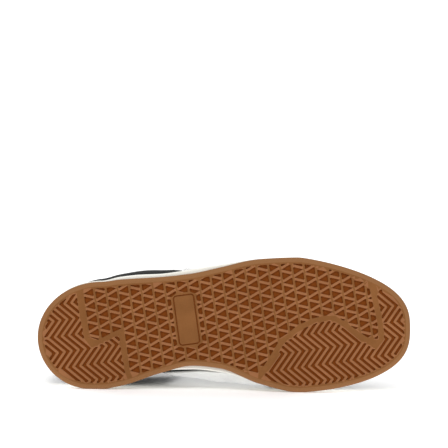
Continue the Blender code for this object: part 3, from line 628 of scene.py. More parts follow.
def add_stitches(surface, path, normals, pitch, thread):
    """Add a row of stitches along a line, each a thread that dips into the surface at its ends.

    A thread is given by its length as a share of the pitch and its radius r. Its middle line is
    c + t s L/2 + n r (0.9 - 1.9 s^4) for s from -1 to 1, with a round section that narrows to the ends.
    """
    share, radius = thread
    length = share * pitch
    centre, normal, tangent = resampled(path, normals, pitch)
    side = np.cross(tangent, normal)
    s = np.linspace(-1.0, 1.0, STITCH_POINTS)
    angle = np.linspace(0.0, 2.0 * math.pi, STITCH_SIDES, endpoint=False)
    lift = radius * (0.9 - 1.9 * s**4)
    line = (
        centre[:, None]
        + tangent[:, None] * (s * length / 2)[None, :, None]
        + normal[:, None] * lift[None, :, None]
    )
    ring = np.cos(angle)[:, None] * side[:, None, None] + np.sin(angle)[:, None] * normal[:, None, None]
    thick = radius * (1.0 - 0.35 * s**2)
    points = line[:, :, None] + ring * thick[None, :, None, None]
    places = pattern_places(s[:, None] * length, angle[None, :])
    for stitch in points:
        surface.add_grid(stitch, places, wrap=True)


# Shader expressions


class Value:
    """A shader value. Operators on it add Math nodes."""

    def __init__(self, finish, socket):
        self.finish = finish
        self.socket = socket

    def math(self, operation, first, second):
        """One Math node on two values."""
        return self.finish.node("ShaderNodeMath", {"operation": operation}, {0: first, 1: second})

    def __add__(self, other):
        return self.math("ADD", self, other)

    def __radd__(self, other):
        return self.math("ADD", other, self)

    def __sub__(self, other):
        return self.math("SUBTRACT", self, other)

    def __rsub__(self, other):
        return self.math("SUBTRACT", other, self)

    def __mul__(self, other):
        return self.math("MULTIPLY", self, other)

    def __rmul__(self, other):
        return self.math("MULTIPLY", other, self)

    def alone(self, operation):
        """One Math node on this value."""
        return self.finish.node("ShaderNodeMath", {"operation": operation}, {0: self})


class Finish:
    """A material under construction, with its Principled shader."""

    def __init__(self, name, **fixed):
        self.material = bpy.data.materials.new(name)
        self.material.use_nodes = True
        self.tree = self.material.node_tree
        self.shader = self.tree.nodes["Principled BSDF"]
        for socket, value in fixed.items():
            self.shader.inputs[socket.replace("_", " ")].default_value = value

    def node(self, kind, settings=None, inputs=None, output=0):
        """A node of a type: its settings first, then the values or links of its inputs; gives one output."""
        made = self.tree.nodes.new(kind)
        for name, value in (settings or {}).items():
            setattr(made, name, value)
        for name, value in (inputs or {}).items():
            if isinstance(value, Value):
                self.tree.links.new(value.socket, made.inputs[name])
            else:
                made.inputs[name].default_value = value
        return Value(self, made.outputs[output])

    def spot(self):
        """Place on the object, in metres."""
        return self.node("ShaderNodeTexCoord", output="Object")

    def place(self):
        """Pattern place stored with the piece's points."""
        return self.node("ShaderNodeAttribute", {"attribute_name": "place"}, output="Vector")

    def parts(self, vector):
        """The three numbers of a vector."""
        return [self.node("ShaderNodeSeparateXYZ", {}, {0: vector}, axis) for axis in ("X", "Y", "Z")]

    def noise(self, vector, scale, detail):
        """Noise from 0 to 1."""
        return self.node("ShaderNodeTexNoise", {}, {"Vector": vector, "Scale": scale, "Detail": detail})

    def cells(self, vector, size, feature, **more):
        """Distance to the middle of the nearest of many small cells, or to their borders."""
        inputs = {"Vector": vector, "Scale": 1.0 / size, **more}
        return self.node("ShaderNodeTexVoronoi", {"feature": feature}, inputs)

    def span(self, value, low, high, first=0.0, last=1.0):
        """A value carried smoothly from one range to another and held at its ends."""
        inputs = {"Value": value, 1: low, 2: high, 3: first, 4: last}
        return self.node("ShaderNodeMapRange", {"interpolation_type": "SMOOTHSTEP"}, inputs)

    def mix(self, factor, first, second):
        """Two colours mixed by a factor."""
        inputs = {0: factor, 6: opaque(first), 7: opaque(second)}
        return self.node("ShaderNodeMix", {"data_type": "RGBA"}, inputs, 2)

    def bump(self, height, distance, strength=1.0, below=None):
        """A normal from a height, over another normal where one is given."""
        inputs = {"Height": height, "Distance": distance, "Strength": strength}
        if below is not None:
            inputs["Normal"] = below
        return self.node("ShaderNodeBump", {}, inputs)

    def drive(self, **links):
        """Link values to the shader's inputs."""
        for socket, value in links.items():
            self.tree.links.new(value.socket, self.shader.inputs[socket.replace("_", " ")])
        return self.material


def opaque(colour):
    """A colour with full cover; a shader value stays as it is."""
    return colour if isinstance(colour, Value) else (*colour, 1.0)


def gum_finish(name, settings, light, dark):
    """Moulded gum rubber: paler on the rim, and redder and darker down in the tread, which is painted shade
    in the pockets.
    """
    finish = Finish(name, Specular_IOR_Level=0.05)
    spot = finish.spot()
    depth = finish.parts(finish.place())[2]
    cloud = finish.noise(spot, 55.0, 4.0)
    speck = finish.noise(spot, 900.0, 2.0)
    worn = finish.mix(finish.span(cloud, 0.3, 0.75), dark, light)
    colour = finish.mix(finish.span(depth, RIM_MARK, 0.0, 1.0, 0.0), worn, settings.rim)
    # Painted shade: darker and redder down the pockets' walls and on their floors
    colour = finish.mix(finish.span(depth, 0.3, 1.1), colour, settings.pocket)
    colour = finish.mix(finish.span(speck, 0.55, 0.8, 0.0, 0.12), colour, light)
    rough = 0.5 + 0.16 * cloud
    grain = finish.noise(spot, 2600.0, 2.0) * 0.5 + speck * 0.5
    normal = finish.bump(grain, 0.00012, 0.5)
    return finish.drive(Base_Color=colour, Roughness=rough, Normal=normal)


def cup_finish(settings):
    """Off-white moulded rubber with a fine sanded grain and a faint warm cloud."""
    finish = Finish("cup_rubber")
    spot = finish.spot()
    cloud = finish.noise(spot, 40.0, 4.0)
    colour = finish.mix(finish.span(cloud, 0.3, 0.7), settings.colour, settings.shade)
    grain = finish.noise(spot, 2200.0, 3.0)
    normal = finish.bump(grain, 0.0001, 0.35)
    return finish.drive(Base_Color=colour, Roughness=0.42 + 0.14 * cloud, Normal=normal)


def leather_finish(name, colour, shade, cell, depth, rough, shine=0.5):
    """Grained leather: small rounded pebbles with fine creases between them, over a soft unevenness."""
    finish = Finish(name, Specular_IOR_Level=shine)
    spot = finish.spot()
    wander = finish.node("ShaderNodeTexNoise", {}, {"Vector": spot, "Scale": 260.0}, "Color")
    bent = finish.node("ShaderNodeMix", {"data_type": "VECTOR"}, {0: 0.0006, 4: spot, 5: wander}, 1)
    pebbles = finish.cells(bent, cell, "SMOOTH_F1", Smoothness=0.35)
    border = finish.cells(bent, cell, "DISTANCE_TO_EDGE")
    crease = finish.span(border, 0.0, 0.16)
    fine = finish.noise(spot, 3200.0, 3.0)
    cloud = finish.noise(spot, 45.0, 4.0)
    tint = finish.mix(finish.span(cloud, 0.3, 0.7), colour, shade)
    # Painted shade in the creases: up to a third of the shade colour there, which darkens the white leather;
    # on the black leather it is a greyer tone
    tint = finish.mix(0.35 - 0.35 * crease, tint, shade)
    height = crease * 0.7 - pebbles * 0.4 + fine * 0.22
    swell = finish.bump(cloud, 0.002, 0.2)
    normal = finish.bump(height, depth, 0.9, swell)
    return finish.drive(Base_Color=tint, Roughness=rough + 0.12 * fine - 0.06 * crease, Normal=normal)


def cloth_finish(name, colour, shade, thread):
    """Knitted cloth: small loops in offset rows along the surface."""
    finish = Finish(name, Roughness=0.95, Sheen_Weight=0.3, Sheen_Roughness=0.5)
    along, across, _ = finish.parts(finish.place())
    turn = 2.0 * math.pi / thread
    weave = (along * turn).alone("SINE")
    rows = (across * turn + weave * 0.9).alone("SINE")
    fuzz = finish.noise(finish.spot(), 1800.0, 3.0)
    height = weave * rows * 0.5 + fuzz * 0.6
    # Painted shade: the shade colour in the low spots between the loops
    tint = finish.mix(finish.span(height, -0.3, 0.9), shade, colour)
    return finish.drive(Base_Color=tint, Normal=finish.bump(height, 0.00025, 0.8))


def lace_finish(settings):
    """Flat woven lace: crossing threads in a herringbone, with a rib along each edge."""
    finish = Finish("lace_cotton", Roughness=0.85, Sheen_Weight=0.25)
    along, across, _ = finish.parts(finish.place())
    thread = 2.0 * math.pi / settings.lace_thread * MM
    weave = ((along + across.alone("ABSOLUTE")) * thread).alone("SINE")
    rib = (across * thread * 1.5).alone("SINE")
    height = weave * 0.6 + rib * 0.35
    # Painted shade: the shade colour where the threads dip
    tint = finish.mix(finish.span(height, -0.8, 0.6), settings.lace_shade, settings.lace)
    return finish.drive(Base_Color=tint, Normal=finish.bump(height, 0.0002, 0.9))


def thread_finish(name, colour):
    """Twisted sewing thread."""
    finish = Finish(name, Roughness=0.7)
    along, angle, _ = finish.parts(finish.place())
    twist = (along * 6.0 + angle * 2.0).alone("SINE")
    # Painted shade: the twist's grooves darker by four tenths
    shade = tuple(0.6 * part for part in colour)
    tint = finish.mix(finish.span(twist, -0.9, 0.4), shade, colour)
    return finish.drive(Base_Color=tint, Normal=finish.bump(twist, 0.0001, 0.6))


# Settings


def colour_property(name, description, default):
    """A colour that a user can change."""
    return bpy.props.FloatVectorProperty(
        name=name, description=description, default=default, size=3, subtype="COLOR", min=0.0, max=1.0
    )


def number_property(name, description, default, **more):
    """A number that a user can change."""
    return bpy.props.FloatProperty(name=name, description=description, default=default, **more)


def length_property(name, description, default):
    """A length in metres that a user can change."""
    return number_property(name, description, default, unit="LENGTH", min=0.0)


def angle_property(name, description, degrees):
    """An angle that a user can change."""
    return number_property(name, description, math.radians(degrees), subtype="ANGLE")


def strength_property(name, description, default):
    """The strength of a light, which a user can change."""
    return number_property(name, description, default, min=0.0)


class GumSettings(bpy.types.PropertyGroup):
    """Outsole sizes and colours."""

    top_light: colour_property("Flush", "Lighter brown of the bands and columns", (0.190, 0.077, 0.0242))
    top_dark: colour_property("Flush, dark", "Darker brown of the bands and columns", (0.158, 0.0627, 0.0188))
    # The bars' and ribs' lighter orange is a painted highlight, where light from above catches their rounding
    bar_highlight_light: colour_property("Bar", "Lighter orange of the bars and ribs", (0.252, 0.106, 0.0435))
    bar_highlight_dark: colour_property("Bar, dark", "Darker orange of the bars and ribs", (0.222, 0.092, 0.0370))
    # The pockets' red brown is painted shade in the recesses
    pocket: colour_property("Pocket", "Red brown of the pocket floors", (0.154, 0.0375, 0.0034))
    rim: colour_property("Rim", "Paler brown of the rim", (0.213, 0.098, 0.0384))
    column_rounding: length_property("Column rounding", "Rounding of the tread's columns and borders", 0.0003)
    bar_rounding: length_property("Bar rounding", "Rounding of the tread's bars and ribs", 0.0008)
    fillet: length_property("Fillet", "Radius at the foot of the tread's bars", 0.0004)


class CupSettings(bpy.types.PropertyGroup):
    """Midsole colours and stitches."""

    colour: colour_property("Cup", "Off-white of the cup", (0.72, 0.71, 0.66))
    shade: colour_property("Cup, shaded", "Warmer off-white of the cup", (0.68, 0.67, 0.61))
    thread: colour_property("Thread", "Colour of the stitches in the channel", (0.70, 0.69, 0.64))
    pitch: length_property("Stitch pitch", "Distance from stitch to stitch", 0.0046)


class LeatherSettings(bpy.types.PropertyGroup):
    """Leather colours and grain."""

    black: colour_property("Black", "Black of the upper", (0.009, 0.009, 0.0088))
    black_shade: colour_property("Black, worn", "Greyer black on the grain's tops", (0.017, 0.017, 0.0167))
    white: colour_property("White", "White of the saddles", (0.78, 0.78, 0.77))
    # The saddles' greyer white goes into a random cloud and, as painted shade, into the grain's creases; it
    # is also the saddle thread's colour
    white_shade: colour_property("White, shaded", "Greyer white of the saddles", (0.71, 0.71, 0.70))
    grain: length_property("Grain", "Size of the black leather's pebbles", 0.0012)
    fine_grain: length_property("Fine grain", "Size of the white leather's pebbles", 0.0008)
    pitch: length_property("Stitch pitch", "Distance from stitch to stitch", 0.0029)


class ClothSettings(bpy.types.PropertyGroup):
    """Lining and lace."""

    lining: colour_property("Lining", "Colour of the lining", (0.05, 0.05, 0.052))
    # The lining's deep colour is painted shade between its loops
    lining_shade: colour_property("Lining, deep", "Colour between the lining's loops", (0.014, 0.014, 0.015))
    lace: colour_property("Lace", "Colour of the lace", (0.83, 0.83, 0.81))
    # The lace's deep colour is painted shade between its threads
    lace_shade: colour_property("Lace, deep", "Colour between the lace's threads", (0.55, 0.55, 0.53))
    lace_width: length_property("Lace width", "Width of the flat lace", 0.0066)
    lace_thick: length_property("Lace thickness", "Thickness of the flat lace", 0.0014)
    lace_thread: length_property("Lace thread", "Pitch of the lace's threads", 0.0011)


class StageSettings(bpy.types.PropertyGroup):
    """Camera and light."""

    distance: length_property("Camera distance", "From the sole to the camera", 2.4)
    pixel: length_property("Pixel", "Size of one image pixel on the sole", 0.0008086)
    above: angle_property("Camera rise", "Angle of the camera over the sole's own normal", 0.0)
    key: strength_property("Key light", "Strength of the soft light", 1.1)
    bounce: strength_property("Bounce", "Strength of the floor's light", 1.6)
    softness: angle_property("Softness", "Angle that the soft light fills", 20.0)
    world: strength_property("Room light", "Strength of the even light", 1.06)


# Outsole

OUTSOLE_STATIONS = 200
OUTSOLE_SHARP = 50.0
# Shifting an outline: cosine of a turn that counts as straight, and least squared sine of one that doesn't
STRAIGHT_COSINE = 0.97
LEAST_SINE = 0.05
# Filling a flat: only inside its loops, with points merged that are this close
FILL_INSIDE = 1
FILL_REACH = 1e-5
# Pockets: cut of their corners and its largest share of an edge, steps of their roundings, largest fillet as
# a share of their breadth, and the edges that count as bars: more than this slant off a column, and this far
# inside the zone's border
CORNER_CUT = 0.55
CORNER_SHARE = 0.3
ROUND_STEPS = (0.0, 22.5, 45.0, 67.5, 90.0)
FILLET_ROOM = 0.45
COLUMN_SLANT = 0.2
BORDER = 0.3
# Finishes of the gum: the flush one, and the bars' and ribs' one, whose lighter orange is a painted highlight
FLUSH, BAR_HIGHLIGHT = 0, 1
# The outsole's side, from the flat tread round its lip to its top: distance in from the outline, height
LIP_PROFILE = (
    (3.4, 0.0),
    (2.7, 0.02),
    (2.1, 0.12),
    (1.5, 0.34),
    (0.95, 0.72),
    (0.5, 1.22),
    (0.2, 1.8),
    (0.04, 2.4),
    (0.0, 3.0),
    (0.08, 4.2),
    (0.25, 4.75),
    (0.5, OUTSOLE_THICK),
)
# The rim's flush band: distance in from the outline, and its mark for the finish, which fades out inwards
RIM_MARK = -1.0
RIM_BAND = ((LIP_PROFILE[0][0], RIM_MARK), (4.1, 0.0))
# The plate's groove, from its frame to the plate: distance out from the plate's outline, depth
PLATE_PROFILE = (
    (PLATE_GROOVE + 0.25, 0.0),
    (PLATE_GROOVE + 0.07, 0.07),
    (PLATE_GROOVE, 0.3),
    (PLATE_GROOVE - 0.15, PLATE_GROOVE_DEPTH),
    (0.15, PLATE_GROOVE_DEPTH),
    (0.0, 0.3),
    (-0.07, 0.07),
    (-0.25, 0.0),
)


def plan_loop(inset):
    """Plan outline (along, out) of the outsole, moved inwards by a distance."""
    return round_loop(OUTSOLE_EDGE, inset, OUTSOLE_STATIONS) * (1.0, -1.0)


def plan_to_shoe(plan, depth):
    """Tread points from their plan place (along, out) and depth over the underside."""
    along, out = plan[..., 0], plan[..., 1]
    return np.stack([along, -out, underside(along) + depth], axis=-1)


def plan_area(outline):
    """Signed area of a plan outline."""
    x, y = outline[:, 0], outline[:, 1]
    return 0.5 * (np.dot(x, np.roll(y, -1)) - np.dot(y, np.roll(x, -1)))


def breadth(outline):
    """How broad a plan outline is: twice its area over its length round."""
    length_round = np.linalg.norm(np.roll(outline, -1, axis=0) - outline, axis=1).sum()
    return 2.0 * abs(plan_area(outline)) / length_round


def shifted(outline, distances):
    """A closed plan outline with each edge moved outwards by its own distance.

    Each corner goes to v with v.n1 = d1 and v.n2 = d2 for its two edges; on a nearly straight run it goes
    along their common normal.
    """
    edge = unit(np.roll(outline, -1, axis=0) - outline)
    normal = np.stack([edge[:, 1], -edge[:, 0]], axis=-1)
    other = np.roll(normal, 1, axis=0)
    reach = np.broadcast_to(distances, len(outline))[:, None]
    back = np.roll(reach, 1, axis=0)
    both = (normal * other).sum(axis=1, keepdims=True)
    bend = np.maximum(1.0 - both**2, LEAST_SINE)
    corner = (back * (other - both * normal) + reach * (normal - both * other)) / bend
    straight = (back + reach) / 2 * unit(normal + other)
    return outline + np.where(both > STRAIGHT_COSINE, straight, corner)


def cut_corners(outline, cut):
    """A closed outline with each corner replaced by two points."""
    ahead = np.roll(outline, -1, axis=0) - outline
    behind = np.roll(outline, 1, axis=0) - outline
    pair = []
    for run in (behind, ahead):
        reach = np.minimum(cut, CORNER_SHARE * np.linalg.norm(run, axis=1))
        pair.append(outline + unit(run) * reach[:, None])
    return np.stack(pair, axis=1).reshape(-1, 2)


def signed_distance(polygon, points):
    """Distance of points from a closed polygon, positive inside it."""
    points = np.atleast_2d(points)
    start = np.asarray(polygon, float)
    run = np.roll(start, -1, axis=0) - start
    to_point = points[:, None, :] - start[None]
    share = np.clip((to_point * run).sum(-1) / (run * run).sum(-1), 0.0, 1.0)
    near = np.linalg.norm(to_point - share[..., None] * run, axis=-1).min(axis=1)
    end = start + run
    spans = (start[:, 1] > points[:, 1:]) != (end[:, 1] > points[:, 1:])
    rise = np.where(run[:, 1] == 0.0, 1.0, run[:, 1])
    crossing = start[:, 0] + (points[:, 1:] - start[:, 1]) * run[:, 0] / rise
    inside = (spans & (points[:, :1] < crossing)).sum(axis=1) % 2 == 1
    return np.where(inside, near, -near)


def turned(points):
    """Plan points (along, out) in the tread's own axes (rank, run to the inner side), or those in the plan.

    The change is a turn with a reflection, so it is its own inverse.
    """
    points = np.asarray(points, float)
    first = points[..., 0] * math.cos(TREAD_TURN) + points[..., 1] * math.sin(TREAD_TURN)
    second = points[..., 0] * math.sin(TREAD_TURN) - points[..., 1] * math.cos(TREAD_TURN)
    return np.stack([first, second], axis=-1)


class TreadPlan:
    """The zones of the tread, as distances that are positive inside a zone."""

    def __init__(self):
        self.edge = plan_loop(0.0)
        self.heel = np.array(HEEL_BAND + HEEL_CLOSE)
        self.toe = np.array(TOE_BAND + TOE_CLOSE)
        self.plate = plate_outline(PLATE_GROOVE + PLATE_FRAME)

    def within_rim(self, points):
        """Inside the smooth rim."""
        return signed_distance(self.edge, points) - RIM_WIDTH

    def heel_zone(self, points):
        """Herringbone at the heel."""
        band = signed_distance(self.heel, points) - HEEL_BAND_HALF
        return np.minimum(self.within_rim(points), band)

    def toe_zone(self, points):
        """Herringbone at the toe and the inner ball."""
        band = signed_distance(self.toe, points) - TOE_BAND_HALF
        return np.minimum(self.within_rim(points), band)

    def lattice_zone(self, points):
        """Triangles between the two bands, round the plate."""
        heel = -signed_distance(self.heel, points) - HEEL_BAND_HALF
        toe = -signed_distance(self.toe, points) - TOE_BAND_HALF
        plate = -signed_distance(self.plate, points)
        return np.minimum.reduce([self.within_rim(points), heel, toe, plate])


def tidy_polygon(polygon):
    """A polygon without its very short edges and its points on straight runs."""
    points = [np.asarray(point) for point in polygon]
    changed = True
    while changed and len(points) > 3:
        changed = False
        for i in range(len(points)):
            before, here, after = points[i - 1], points[i], points[(i + 1) % len(points)]
            first, second = here - before, after - here
            bend = abs(first[0] * second[1] - first[1] * second[0])
            reach = np.linalg.norm(after - before)
            if np.linalg.norm(first) < MIN_EDGE or bend < MIN_BEND * reach:
                points.pop(i)
                changed = True
                break
    return np.array(points)


def clipped(polygon, zone):
    """The part of a polygon where a zone's distance is positive, with a straight edge along its border."""
    steps_per_edge = 8
    start = np.asarray(polygon, float)
    shares = np.linspace(0.0, 1.0, steps_per_edge, endpoint=False)[None, :, None]
    ring = start[:, None] * (1 - shares) + np.roll(start, -1, axis=0)[:, None] * shares
    ring = ring.reshape(-1, 2)
    depth = zone(ring)
    kept = []
    for i in range(len(ring)):
        j = (i + 1) % len(ring)
        if depth[i] > 0:
            kept.append(ring[i])
        if (depth[i] > 0) != (depth[j] > 0):
            kept.append(ring[i] + (ring[j] - ring[i]) * depth[i] / (depth[i] - depth[j]))
    return tidy_polygon(kept) if len(kept) > 2 else np.zeros((0, 2))


def lattice_pockets(plan):
    """Triangle pockets between bars along the tread's run, long rising bars and short falling bars."""
    rank_start, run_start = turned(LATTICE_START)
    slope = math.atan2(LATTICE_RISE, LATTICE_COLUMN)
    rib_along_run = LATTICE_RIB / math.cos(slope)
    base = LATTICE_ROW - LATTICE_APEX - rib_along_run
    pockets = []
    for col in LATTICE_COLUMNS:
        left = rank_start + col * LATTICE_COLUMN + LATTICE_RIB / 2
        right = left + LATTICE_COLUMN - LATTICE_RIB
        for row in LATTICE_ROWS:
            bar_left = run_start - col * LATTICE_RISE + row * LATTICE_ROW
            bar_right = bar_left - LATTICE_RISE
            top_right = bar_right + rib_along_run / 2
            low_left = bar_left + LATTICE_ROW - rib_along_run / 2
            apex_left = bar_left + LATTICE_APEX / 2
            apex_right = bar_right + LATTICE_ROW - LATTICE_APEX / 2
            opening_right = ((left, apex_left), (right, top_right), (right, top_right + base))
            opening_left = ((left, low_left - base), (right, apex_right), (left, low_left))
            for triangle in (opening_right, opening_left):
                pocket = clipped(turned(triangle), plan.lattice_zone)
                if len(pocket) > 2 and abs(plan_area(pocket)) > MIN_POCKET and breadth(pocket) > MIN_BREADTH:
                    pockets.append(pocket)
    return pockets


def inside_runs(flags):
    """First and last index of each run of true values."""
    padded = np.concatenate([[False], flags, [False]]).astype(int)
    change = np.diff(padded)
    return list(zip(np.flatnonzero(change == 1), np.flatnonzero(change == -1) - 1))


def chevron_grooves(zone, point):
    """Zigzag grooves across a zone, between ribs of which one has a forward corner at a given point."""
    point_rank, point_run = turned(point)
    phase = np.linspace(-CHEVRON_LEGS, CHEVRON_LEGS, 2 * CHEVRON_LEGS * CHEVRON_STEPS + 1)
    samples = point_run + CHEVRON_HALF * phase
    zigzag = -CHEVRON_REACH * np.abs(phase - 2 * np.round(phase / 2))
    spare = int(CHEVRON_GROOVE * CHEVRON_STEPS / CHEVRON_HALF)
    grooves = []
    for number in CHEVRON_NUMBERS:
        middle = point_rank + (number + 0.5) * CHEVRON_PITCH + zigzag
        sides = [turned(np.column_stack([middle + shift, samples])) for shift in GROOVE_EDGES]
        inside = [zone(side) > 0 for side in sides]
        runs = inside_runs(inside[0] & inside[1])
        walls = [0] + [(run[1] + after[0]) // 2 for run, after in zip(runs, runs[1:])] + [len(samples)]
        for (first, last), before, behind in zip(runs, walls, walls[1:]):
            edges = []
            for side, within in zip(sides, inside):
                low, high = first, last
                while low > max(first - spare, before + 2) and within[low - 1]:
                    low -= 1
                while high < min(last + spare, behind - 2) and within[high + 1]:
                    high += 1
                edges.append(side[low:high + 1])
            groove = tidy_polygon(np.concatenate([edges[0], edges[1][::-1]]))
            if len(groove) > 3 and abs(plan_area(groove)) > MIN_POCKET:
                grooves.append(groove)
    return grooves


def pocket_outlines(plan):
    """Plan outlines of all the tread's pockets, each running the same way round, with their zones."""
    found = [(outline, plan.lattice_zone) for outline in lattice_pockets(plan)]
    for zone, point in ((plan.heel_zone, HEEL_POINT), (plan.toe_zone, TOE_POINT)):
        found += [(outline, zone) for outline in chevron_grooves(zone, point)]
    return [(outline if plan_area(outline) > 0 else outline[::-1], zone) for outline, zone in found]


def flush_finish(plan, points):
    """Finish of spots on the flush face: the bars' painted highlight on bars and ribs, else that of columns,
    bands and rim.
    """
    rank = turned(points)[..., 0] - turned(LATTICE_START)[0]
    from_column = np.abs(rank - LATTICE_COLUMN * np.round(rank / LATTICE_COLUMN))
    bars = (plan.lattice_zone(points) > 0) & (from_column > LATTICE_RIB / 2)
    ribs = np.maximum(plan.heel_zone(points), plan.toe_zone(points)) > 0
    return np.where(bars | ribs, BAR_HIGHLIGHT, FLUSH)


def plate_outline(grow):
    """Plan outline of the bare plate, grown by a distance: a rounded rectangle turned with the tread."""
    angle = np.radians(np.arange(0.0, 360.0, PLATE_STEP))
    corner = np.floor(angle / (math.pi / 2) + 1e-6)
    right = np.where((corner == 0) | (corner == 3), 1.0, -1.0)
    up = np.where(corner < 2, 1.0, -1.0)
    radius = PLATE_ROUND + grow
    rank = right * (PLATE_SIZE[0] / 2 - PLATE_ROUND) + radius * np.cos(angle)
    run = up * (PLATE_SIZE[1] / 2 - PLATE_ROUND) + radius * np.sin(angle)
    along = PLATE_CENTRE[0] + rank * math.cos(TREAD_TURN) - run * math.sin(TREAD_TURN)
    out = PLATE_CENTRE[1] + rank * math.sin(TREAD_TURN) + run * math.cos(TREAD_TURN)
    return np.stack([along, out], axis=-1)


def pocket_rings(outline, zone, settings):
    """Rings of a pocket from its rim to its floor, their depths, and the finish of each edge.

    The wall starts with a quarter round and ends in a fillet. The rounding is wide along bars and ribs, and
    narrow along columns, at the zone's border and at cut corners.
    """
    outline = cut_corners(outline, CORNER_CUT)
    ahead = np.roll(outline, -1, axis=0)
    slant = np.abs(unit(ahead - outline) @ (math.cos(TREAD_TURN), math.sin(TREAD_TURN)))
    # Edges along bars get the wide rounding and the bars' finish, whose lighter orange is a painted highlight
    highlit_bars = (slant > COLUMN_SLANT) & (zone((outline + ahead) / 2) > BORDER)
    wide = np.where(highlit_bars, settings.bar_rounding, settings.column_rounding) / MM
    wide[0::2] = np.minimum(wide[1::2], np.roll(wide[1::2], 1))
    tall = settings.bar_rounding / MM
    room = min(settings.fillet / MM, FILLET_ROOM * breadth(outline))
    turns = np.radians(ROUND_STEPS)
    grows = [wide * (1.0 - math.sin(turn)) for turn in turns]
    grows += [-room * (1.0 - math.cos(turn)) for turn in turns]
    rounding, fillet = tall * (1.0 - np.cos(turns)), TREAD_DEPTH - room * (1.0 - np.sin(turns))
    rings = [shifted(outline, grow) for grow in grows]
    return rings, np.concatenate([rounding, fillet]), np.where(highlit_bars, BAR_HIGHLIGHT, FLUSH)


def add_rings(surface, rings, depths, marks=None, finishes=FLUSH):
    """Add a stack of plan rings as closed bands of quads, with a finish for each edge.

    Each ring has its depth and a mark for the finish, which is the depth where no marks are given.
    """
    rings = np.array(rings)
    depths = np.broadcast_to(np.array(depths)[:, None], rings.shape[:2])
    marks = depths if marks is None else np.broadcast_to(np.array(marks)[:, None], rings.shape[:2])
    places = np.concatenate([rings, marks[..., None]], axis=-1)
    finishes = np.tile(np.broadcast_to(finishes, rings.shape[1]), len(rings) - 1)
    surface.add_grid(plan_to_shoe(rings, depths), places, flip=True, wrap=True, finishes=finishes)


def add_flat(surface, loops, depth, plan_of_first=None):
    """Add a flat of the tread: triangles inside its loops, or where a plan is given the flush face.

    The flush face is what the first loop holds outside the others, with the plan's finishes.
    """
    starts = np.cumsum([0] + [len(loop) for loop in loops])
    faces = [list(range(first, last)) for first, last in zip(starts, starts[1:])]
    points = [Vector(point) for point in np.concatenate(loops)]
    spots, _, triangles, _, _, origins = delaunay_2d_cdt(points, [], faces, FILL_INSIDE, FILL_REACH)
    spots = np.array([tuple(spot) for spot in spots])
    finishes = FLUSH
    if plan_of_first:
        triangles = [triangle for triangle, origin in zip(triangles, origins) if list(origin) == [0]]
        finishes = flush_finish(plan_of_first, spots[np.array(triangles)].mean(axis=1))
    places = np.column_stack([spots, np.full(len(spots), depth)])
    surface.add(plan_to_shoe(spots, depth), places, triangles, finishes)


class SHOE_OT_outsole(bpy.types.Operator):
    """Gum outsole: a rounded lip carried round the outline, and the tread with rounded bars"""

    bl_idname = "court_shoe.outsole"
    bl_label = "Outsole"

    def execute(self, context):
        settings = context.scene.court_shoe_gum
        plan = TreadPlan()
        surface = Surface()
        self.add_lip(surface)
        holes = self.add_pockets(surface, plan, settings)
        holes.append(self.add_plate(surface))
        self.add_flush_face(surface, plan, holes)
        plain = gum_finish("gum_rubber", settings, settings.top_light, settings.top_dark)
        # The bars' and ribs' finish: the same gum in a lighter orange, a painted highlight
        highlit_bars = gum_finish("gum_bars_painted_highlight", settings, settings.bar_highlight_light, settings.bar_highlight_dark)
        piece = add_piece("outsole_gum", surface, [plain, highlit_bars], outward=True, sharp=OUTSOLE_SHARP)
        flats = piece.modifiers.new("flats", "WEIGHTED_NORMAL")
        flats.keep_sharp = True
        place_piece(piece, "gum", "outsole")
        return {"FINISHED"}

    def add_lip(self, surface):
        """The side from the tread round its lip, and the top that carries the cup."""
        rings = [plan_loop(inset) for inset in column(LIP_PROFILE, 0)]
        add_rings(surface, rings, column(LIP_PROFILE, 1), [RIM_MARK] * len(rings))
        top = rings[-1]
        places = np.column_stack([top, np.full(len(top), RIM_MARK)])
        surface.add(plan_to_shoe(top, OUTSOLE_THICK), places, strip_quads(len(top)))

    def add_pockets(self, surface, plan, settings):
        """The walls and floors of the pockets; gives the pockets' rims."""
        rims, floors = [], []
        for outline, zone in pocket_outlines(plan):
            rings, depths, finishes = pocket_rings(outline, zone, settings)
            add_rings(surface, rings, depths, finishes=finishes)
            rims.append(rings[0])
            floors.append(rings[-1])
        add_flat(surface, floors, TREAD_DEPTH)
        return rims

    def add_plate(self, surface):
        """The bare plate inside its groove; gives the groove's rim."""
        rings = [plate_outline(grow) for grow in column(PLATE_PROFILE, 0)]
        add_rings(surface, rings, column(PLATE_PROFILE, 1))
        add_flat(surface, rings[-1:], 0.0)
        return rings[0]

    def add_flush_face(self, surface, plan, holes):
        """The rim's flush band, and the flush face inside it round the holes."""
        rings = [plan_loop(inset) for inset in column(RIM_BAND, 0)]
        add_rings(surface, rings, [0.0] * len(rings), column(RIM_BAND, 1))
        inner = rings[-1] if plan_area(rings[-1]) > 0 else rings[-1][::-1]
        add_flat(surface, [inner] + holes, 0.0, plan)


# Midsole and insole

CUP_STATIONS = 200
# The cup's side: its rounded foot as inset and height, then its wall as inset and depth below the top
CUP_FOOT = ((1.8, 0.0), (0.9, 0.0), (0.4, 0.2), (0.1, 0.62), (0.0, 1.2))
CUP_SIDE = (
    (1.4, 7.2),
    (1.52, 6.4),
    (1.62, 6.2),
    (2.1, 6.08),
    (2.36, 5.85),
    (2.45, 5.5),
    (2.42, 5.15),
    (2.15, 4.92),
    (1.78, 4.8),
    (1.74, 4.6),
    (2.0, 2.4),
    (2.2, 1.1),
    (2.38, 0.55),
    (2.7, 0.15),
    (3.1, 0.0),
    (CUP_WALL - GAP, 0.0),
)
# The stitch channel: its middle line, its count of points, and how much its stitches face upwards
CHANNEL_INSET = 2.3
CHANNEL_DROP = 5.5
CHANNEL_STATIONS = 400
CHANNEL_LEAN = 0.15
